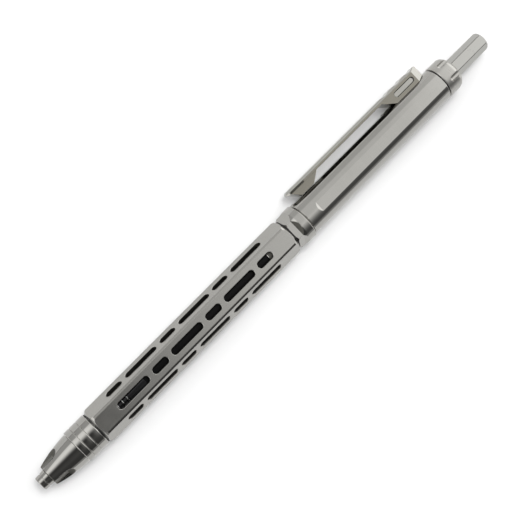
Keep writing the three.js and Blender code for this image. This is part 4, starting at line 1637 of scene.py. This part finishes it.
@dataclass
class Refill:
    """The refill's ball, point, shoulder and body."""

    shop: Workshop
    radius: float = 2.85
    bore: float = 2.5
    sides: int = 128
    end_ease: float = 0.05
    ball_radius: float = 0.35
    ball_sides: int = 48
    point_front: float = 1.6
    point_sides: int = 96
    socket_depth: float = 0.73
    socket_radius: float = 0.38
    rim: float = 0.28
    rim_radius: float = 0.5
    rim_ease: float = 0.03
    taper: float = 2.6
    taper_ease: float = 0.2
    point_radius: float = 1.15
    point_ease: float = 0.04
    stem_radius: float = 0.9
    stem_rear: float = 15.2
    neck_radius: float = 1.5
    neck_ease: float = 0.08
    seat_radius: float = 2.05
    seat_ease: float = 0.06
    shoulder_length: float = 5.0
    shoulder_ease: float = 0.02
    plug_length: float = 4.0
    ink_radius: float = 0.45

    def build(self) -> None:
        """Builds and fits the refill's visible pieces."""
        shop = self.shop
        shop.fit(self.ball(), "writing_ball", "refill_ball", "refill", "steel", SPRING_STEEL)
        shop.fit(self.point(), "writing_point", "refill_point", "refill", "brass", BRASS)
        slot = "black_plastic"
        shop.fit(self.shoulder(), "refill_shoulder", "refill_nose", "refill", slot, GLOSSY_PLASTIC)
        front = SPRING_SEAT + self.shoulder_length + SEAT
        tube = lathe(eased([
            (front, self.radius, self.end_ease), (PLUG_FRONT, self.radius, self.end_ease),
            (PLUG_FRONT, self.bore), (front, self.bore),
        ]), self.sides)
        shop.fit(tube, "refill_body", "refill_tube", "refill", slot, BLACK_PLASTIC)

    def ball(self) -> bpy.types.Object:
        """Turns the writing ball.

        Returns:
            The ball.
        """
        radius = self.ball_radius
        middle = self.point_front + radius
        turns = [math.pi * step / ARC for step in range(ARC + 1)]
        arc = [(middle - radius * math.cos(turn), radius * math.sin(turn)) for turn in turns]
        return lathe(arc, self.ball_sides)

    def point(self) -> bpy.types.Object:
        """Turns the metal point, with the socket of its ball.

        Returns:
            The point.
        """
        front = self.point_front
        return lathe(eased([
            (front + self.socket_depth, 0), (front + self.socket_depth, self.socket_radius),
            (front + self.rim, self.socket_radius), (front + self.rim, self.rim_radius, self.rim_ease),
            (front + self.taper, self.point_radius, self.taper_ease),
            (POINT_REAR, self.point_radius, self.point_ease), (POINT_REAR, self.stem_radius),
            (self.stem_rear, self.stem_radius), (self.stem_rear, 0),
        ]), self.point_sides)

    def shoulder(self) -> bpy.types.Object:
        """Turns the neck and the conical shoulder, which plugs into the refill's body.

        Returns:
            The shoulder.
        """
        front, rear = POINT_REAR + SEAT, SPRING_SEAT + self.shoulder_length
        plug_rear, stem_rear = rear + self.plug_length, self.stem_rear + SEAT
        return lathe(eased([
            (front, self.neck_radius, self.neck_ease), (SPRING_SEAT, self.neck_radius),
            (SPRING_SEAT, self.seat_radius, self.seat_ease), (rear, self.radius, self.shoulder_ease),
            (rear, self.bore - SEAT), (plug_rear, self.bore - SEAT), (plug_rear, self.ink_radius),
            (stem_rear, self.ink_radius), (stem_rear, self.stem_radius + SEAT),
            (front, self.stem_radius + SEAT),
        ]), self.sides)


@dataclass
class ReturnSpring:
    """The coil spring round the refill's neck, which in the pen shortens as the button goes in; here it is
    wound at one length.
    """

    shop: Workshop
    front: float = 4.85
    rear: float = SPRING_SEAT - SEAT
    mean_radius: float = 1.95
    wire_radius: float = 0.2
    turns: float = 16.7
    closed_turns: float = 0.7
    steps: int = 529

    def build(self) -> None:
        """Winds and fits the spring."""
        blank = bar(self.front, self.rear, self.mean_radius)
        values = {
            "Turns": self.turns, "Closed Turns": self.closed_turns, "Front": self.front, "Rear": self.rear,
            "Mean Radius": self.mean_radius, "Wire Radius": self.wire_radius, "Steps": self.steps,
            "Finish": self.shop.material(SPRING_STEEL),
        }
        self.shop.coil_winder.run(blank, values)
        spring = self.shop.fit(blank, "coil_spring", "return_spring", "pen_body", "steel", SPRING_STEEL)
        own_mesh(spring)


@dataclass
class HiddenWorks:
    """The click mechanism, plug and screws, which keep their solids."""

    shop: Workshop

    def build(self) -> None:
        """Gives each hidden solid its finish."""
        for node in ("clip_screw_front", "clip_screw_rear"):
            self.shop.dress(node, SPRING_STEEL)
        for node in ("guide_sleeve", "rotary_cam"):
            self.shop.dress(node, BRASS)
        for node in ("thrust_crown", "refill_plug"):
            self.shop.dress(node, WHITE_RESIN)


@dataclass(frozen=True)
class Lamp:
    """A round lamp, with its places and width in metres, its power in watts and its beam in degrees."""

    name: str
    place: Place
    aim: Place
    size: float
    power: float
    spread: float
    in_gloss: bool

    def hang(self) -> None:
        """Hangs the lamp, which the camera doesn't see."""
        data = bpy.data.lights.new(self.name, "AREA")
        data.shape = "DISK"
        data.size = self.size
        data.energy = self.power
        data.spread = math.radians(self.spread)
        lamp = bpy.data.objects.new(self.name, data)
        bpy.context.scene.collection.objects.link(lamp)
        back = Vector(self.place) - Vector(self.aim)
        turn = back.to_track_quat("Z", "Y").to_matrix().to_4x4()
        lamp.matrix_world = Matrix.Translation(self.place) @ turn
        lamp.visible_glossy = self.in_gloss
        lamp.visible_camera = False


@dataclass(frozen=True)
class Surroundings:
    """The room that the metal reflects: soft boxes, with a dark gap low on the -Y side.

    A band is a row of stops, each a place and a brightness. Over the pen the place is an angle in
    degrees from +Z towards +Y, and at the pen's ends it is the direction's X.
    """

    over_nose: tuple[Place, ...] = (
        (-180, 0.9), (-90, 0.5), (-80, 0.45), (-75, 0.14), (-71, 0.08), (-50, 0.09), (-31, 0.13), (-13, 0.1),
        (-4, 0.08), (5, 0.14), (13, 0.55), (22, 1.3), (31, 1.75), (41, 1.75), (50, 1.5), (55, 0.72),
        (92, 0.7), (105, 0.9), (180, 1.0),
    )
    over_barrel: tuple[Place, ...] = (
        (-180, 1.0), (-90, 0.65), (-80, 0.4), (-75, 0.16), (-63, 0.12), (-52, 0.19), (-42, 0.35), (-32, 0.61),
        (-23, 0.93), (-13, 1.3), (-4, 1.22), (5, 1.14), (50, 1.14), (56, 0.86), (74, 0.86), (90, 0.92),
        (180, 1.0),
    )
    ends: tuple[Place, ...] = ((-1, 2.4), (-0.96, 2.4), (-0.94, 0.5), (0.5, 0.5), (0.6, 1.4), (1, 1.4))
    lean: Place = (0.005, 0.2)
    lean_power: float = 1.1
    box_lower: Place = (8.0, 18.0)
    box_upper: Place = (80.0, 72.0)
    box_front: Place = (-0.66, -0.7)
    box_level: float = 2.2
    front_end: Place = (-0.58, -0.64)
    rear_end: Place = (0.6, 0.75)
    level: Place = (0.36, 0.5, 1.05, 1.6)

    def paint(self) -> None:
        """Writes the world's nodes."""
        world = bpy.data.worlds.new("studio")
        bpy.context.scene.world = world
        world.use_nodes = True
        world.node_tree.nodes.clear()
        pen = NodeWriter(world.node_tree)
        way = pen.add("ShaderNodeTexCoord").outputs["Generated"]
        parts = pen.add("ShaderNodeSeparateXYZ", {0: way}).outputs
        along = parts["X"]
        turn = pen.math("ARCTAN2", parts["Y"], parts["Z"])
        share = pen.math("ADD", pen.math("DIVIDE", turn, math.tau), MIDDLE)
        over_nose = self.bands(pen, share, FULL_TURN, self.over_nose)
        over_barrel = self.bands(pen, share, FULL_TURN, self.over_barrel)
        lean = pen.math("POWER", pen.ramp(along, *self.lean), self.lean_power)
        overhead = pen.blend(lean, over_nose, over_barrel)
        reach = pen.math("MULTIPLY_ADD", along, 1 / X_SPAN, MIDDLE)
        ends = self.bands(pen, reach, X_SPAN, self.ends)
        lower = pen.ramp(turn, *map(math.radians, self.box_lower))
        upper = pen.ramp(turn, *map(math.radians, self.box_upper))
        in_box = pen.math("MULTIPLY", pen.math("MULTIPLY", lower, upper), pen.ramp(along, *self.box_front))
        ends = pen.blend(in_box, ends, (self.box_level, self.box_level, self.box_level, 1.0))
        at_ends = pen.math("ADD", pen.ramp(along, *self.front_end), pen.ramp(along, *self.rear_end))
        both = pen.blend(at_ends, overhead, ends)
        glow = pen.add("ShaderNodeBackground", {"Color": both, "Strength": pen.ramp(along, *self.level)})
        pen.add("ShaderNodeOutputWorld", {"Surface": glow})

    def bands(self, pen: NodeWriter, share: Any, span: float, stops: tuple[Place, ...]) -> bpy.types.Node:
        """Writes how bright the room is along one measure.

        Args:
            pen: The writer of the world's nodes.
            share: The measure as a share of its span.
            span: The measure's full span, with zero in its middle.
            stops: Pairs of a place in the span and a brightness.

        Returns:
            The colour ramp.
        """
        ramp = pen.add("ShaderNodeValToRGB", {0: share})
        marks = ramp.color_ramp.elements
        while len(marks) < len(stops):
            marks.new(MIDDLE)
        for mark, (place, level) in zip(marks, stops):
            mark.position = place / span + MIDDLE
            mark.color = (level, level, level, 1)
        return ramp


@dataclass
class Studio:
    """The camera, the pale floor and the soft light."""

    target: Place = (-0.0036, -0.00161, 0.00457)
    towards_camera: Place = (-0.206, 0.0955, 0.974)
    distance: float = 0.2826
    focal_length: float = 85.71
    sensor_width: float = 36.0
    clip_start: float = 0.01
    pen_angle: float = 45.23
    floor_half: float = 1.5
    floor_tone: Place = (0.722, 0.738)
    floor_scale: float = 40.0
    lamps: tuple[Lamp, ...] = (
        Lamp("soft_lamp", (0.09, 0.17, 0.92), (0, 0, 0), 0.36, 5.2, 180, False),
        Lamp("small_lamp", (-0.031, -0.023, 0.115), (0.0137, -0.0013, 0.0088), 0.036, 0.00037, 30, True),
    )

    def build(self) -> None:
        """Builds the stage."""
        self.camera()
        self.floor()
        Surroundings().paint()
        for lamp in self.lamps:
            lamp.hang()
        bpy.context.scene.view_settings.view_transform = "Standard"

    def camera(self) -> None:
        """Sets the camera, rolled so that the pen climbs across the picture."""
        data = bpy.data.cameras.new("camera")
        data.lens = self.focal_length
        data.sensor_width = self.sensor_width
        data.clip_start = self.clip_start
        camera = bpy.data.objects.new("camera", data)
        bpy.context.scene.collection.objects.link(camera)
        back = Vector(self.towards_camera).normalized()
        along = (Vector((1, 0, 0)) - back * back.x).normalized()
        side = back.cross(along)
        angle = math.radians(self.pen_angle)
        right = along * math.cos(angle) - side * math.sin(angle)
        up = along * math.sin(angle) + side * math.cos(angle)
        turn = Matrix((right, up, back)).transposed().to_4x4()
        place = Vector(self.target) + back * self.distance
        camera.matrix_world = Matrix.Translation(place) @ turn
        bpy.context.scene.camera = camera

    def floor(self) -> None:
        """Lays a plain pale floor."""
        half = self.floor_half
        corners = [(-half, -half, 0), (half, -half, 0), (half, half, 0), (-half, half, 0)]
        mesh = bpy.data.meshes.new("floor")
        mesh.from_pydata(corners, [], [list(range(len(corners)))])
        floor = bpy.data.objects.new("floor", mesh)
        bpy.context.scene.collection.objects.link(floor)
        made = bpy.data.materials.new("pale_floor")
        made.use_nodes = True
        pen = NodeWriter(made.node_tree)
        shader = made.node_tree.nodes["Principled BSDF"]
        place = pen.add("ShaderNodeTexCoord").outputs["Object"]
        noise = pen.add("ShaderNodeTexNoise", {"Vector": place, "Scale": self.floor_scale})
        tone = pen.ramp(noise.outputs["Fac"], 0.0, 1.0, *self.floor_tone)
        for label, value in (("Base Color", tone), ("Roughness", 1.0), ("Specular IOR Level", 0.0)):
            pen.feed(shader.inputs[label], value)
        mesh.materials.append(made)


def main() -> None:
    """Builds the stage and the pen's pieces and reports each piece."""
    logging.basicConfig(level=logging.INFO, format="%(name)s: %(message)s")
    Studio().build()
    shop = Workshop()
    front_parts = (Nozzle, Cone, NoseRing, Grip, Collar, Barrel, PocketClip)
    rear_parts = (Cap, PushButton, Refill, ReturnSpring, HiddenWorks)
    for part in front_parts + rear_parts:
        part(shop).build()
    for name, node, faces in shop.made:
        LOG.info("piece %s, solid %s, %d faces", name, node, faces)


if __name__ == "__main__":
    main()
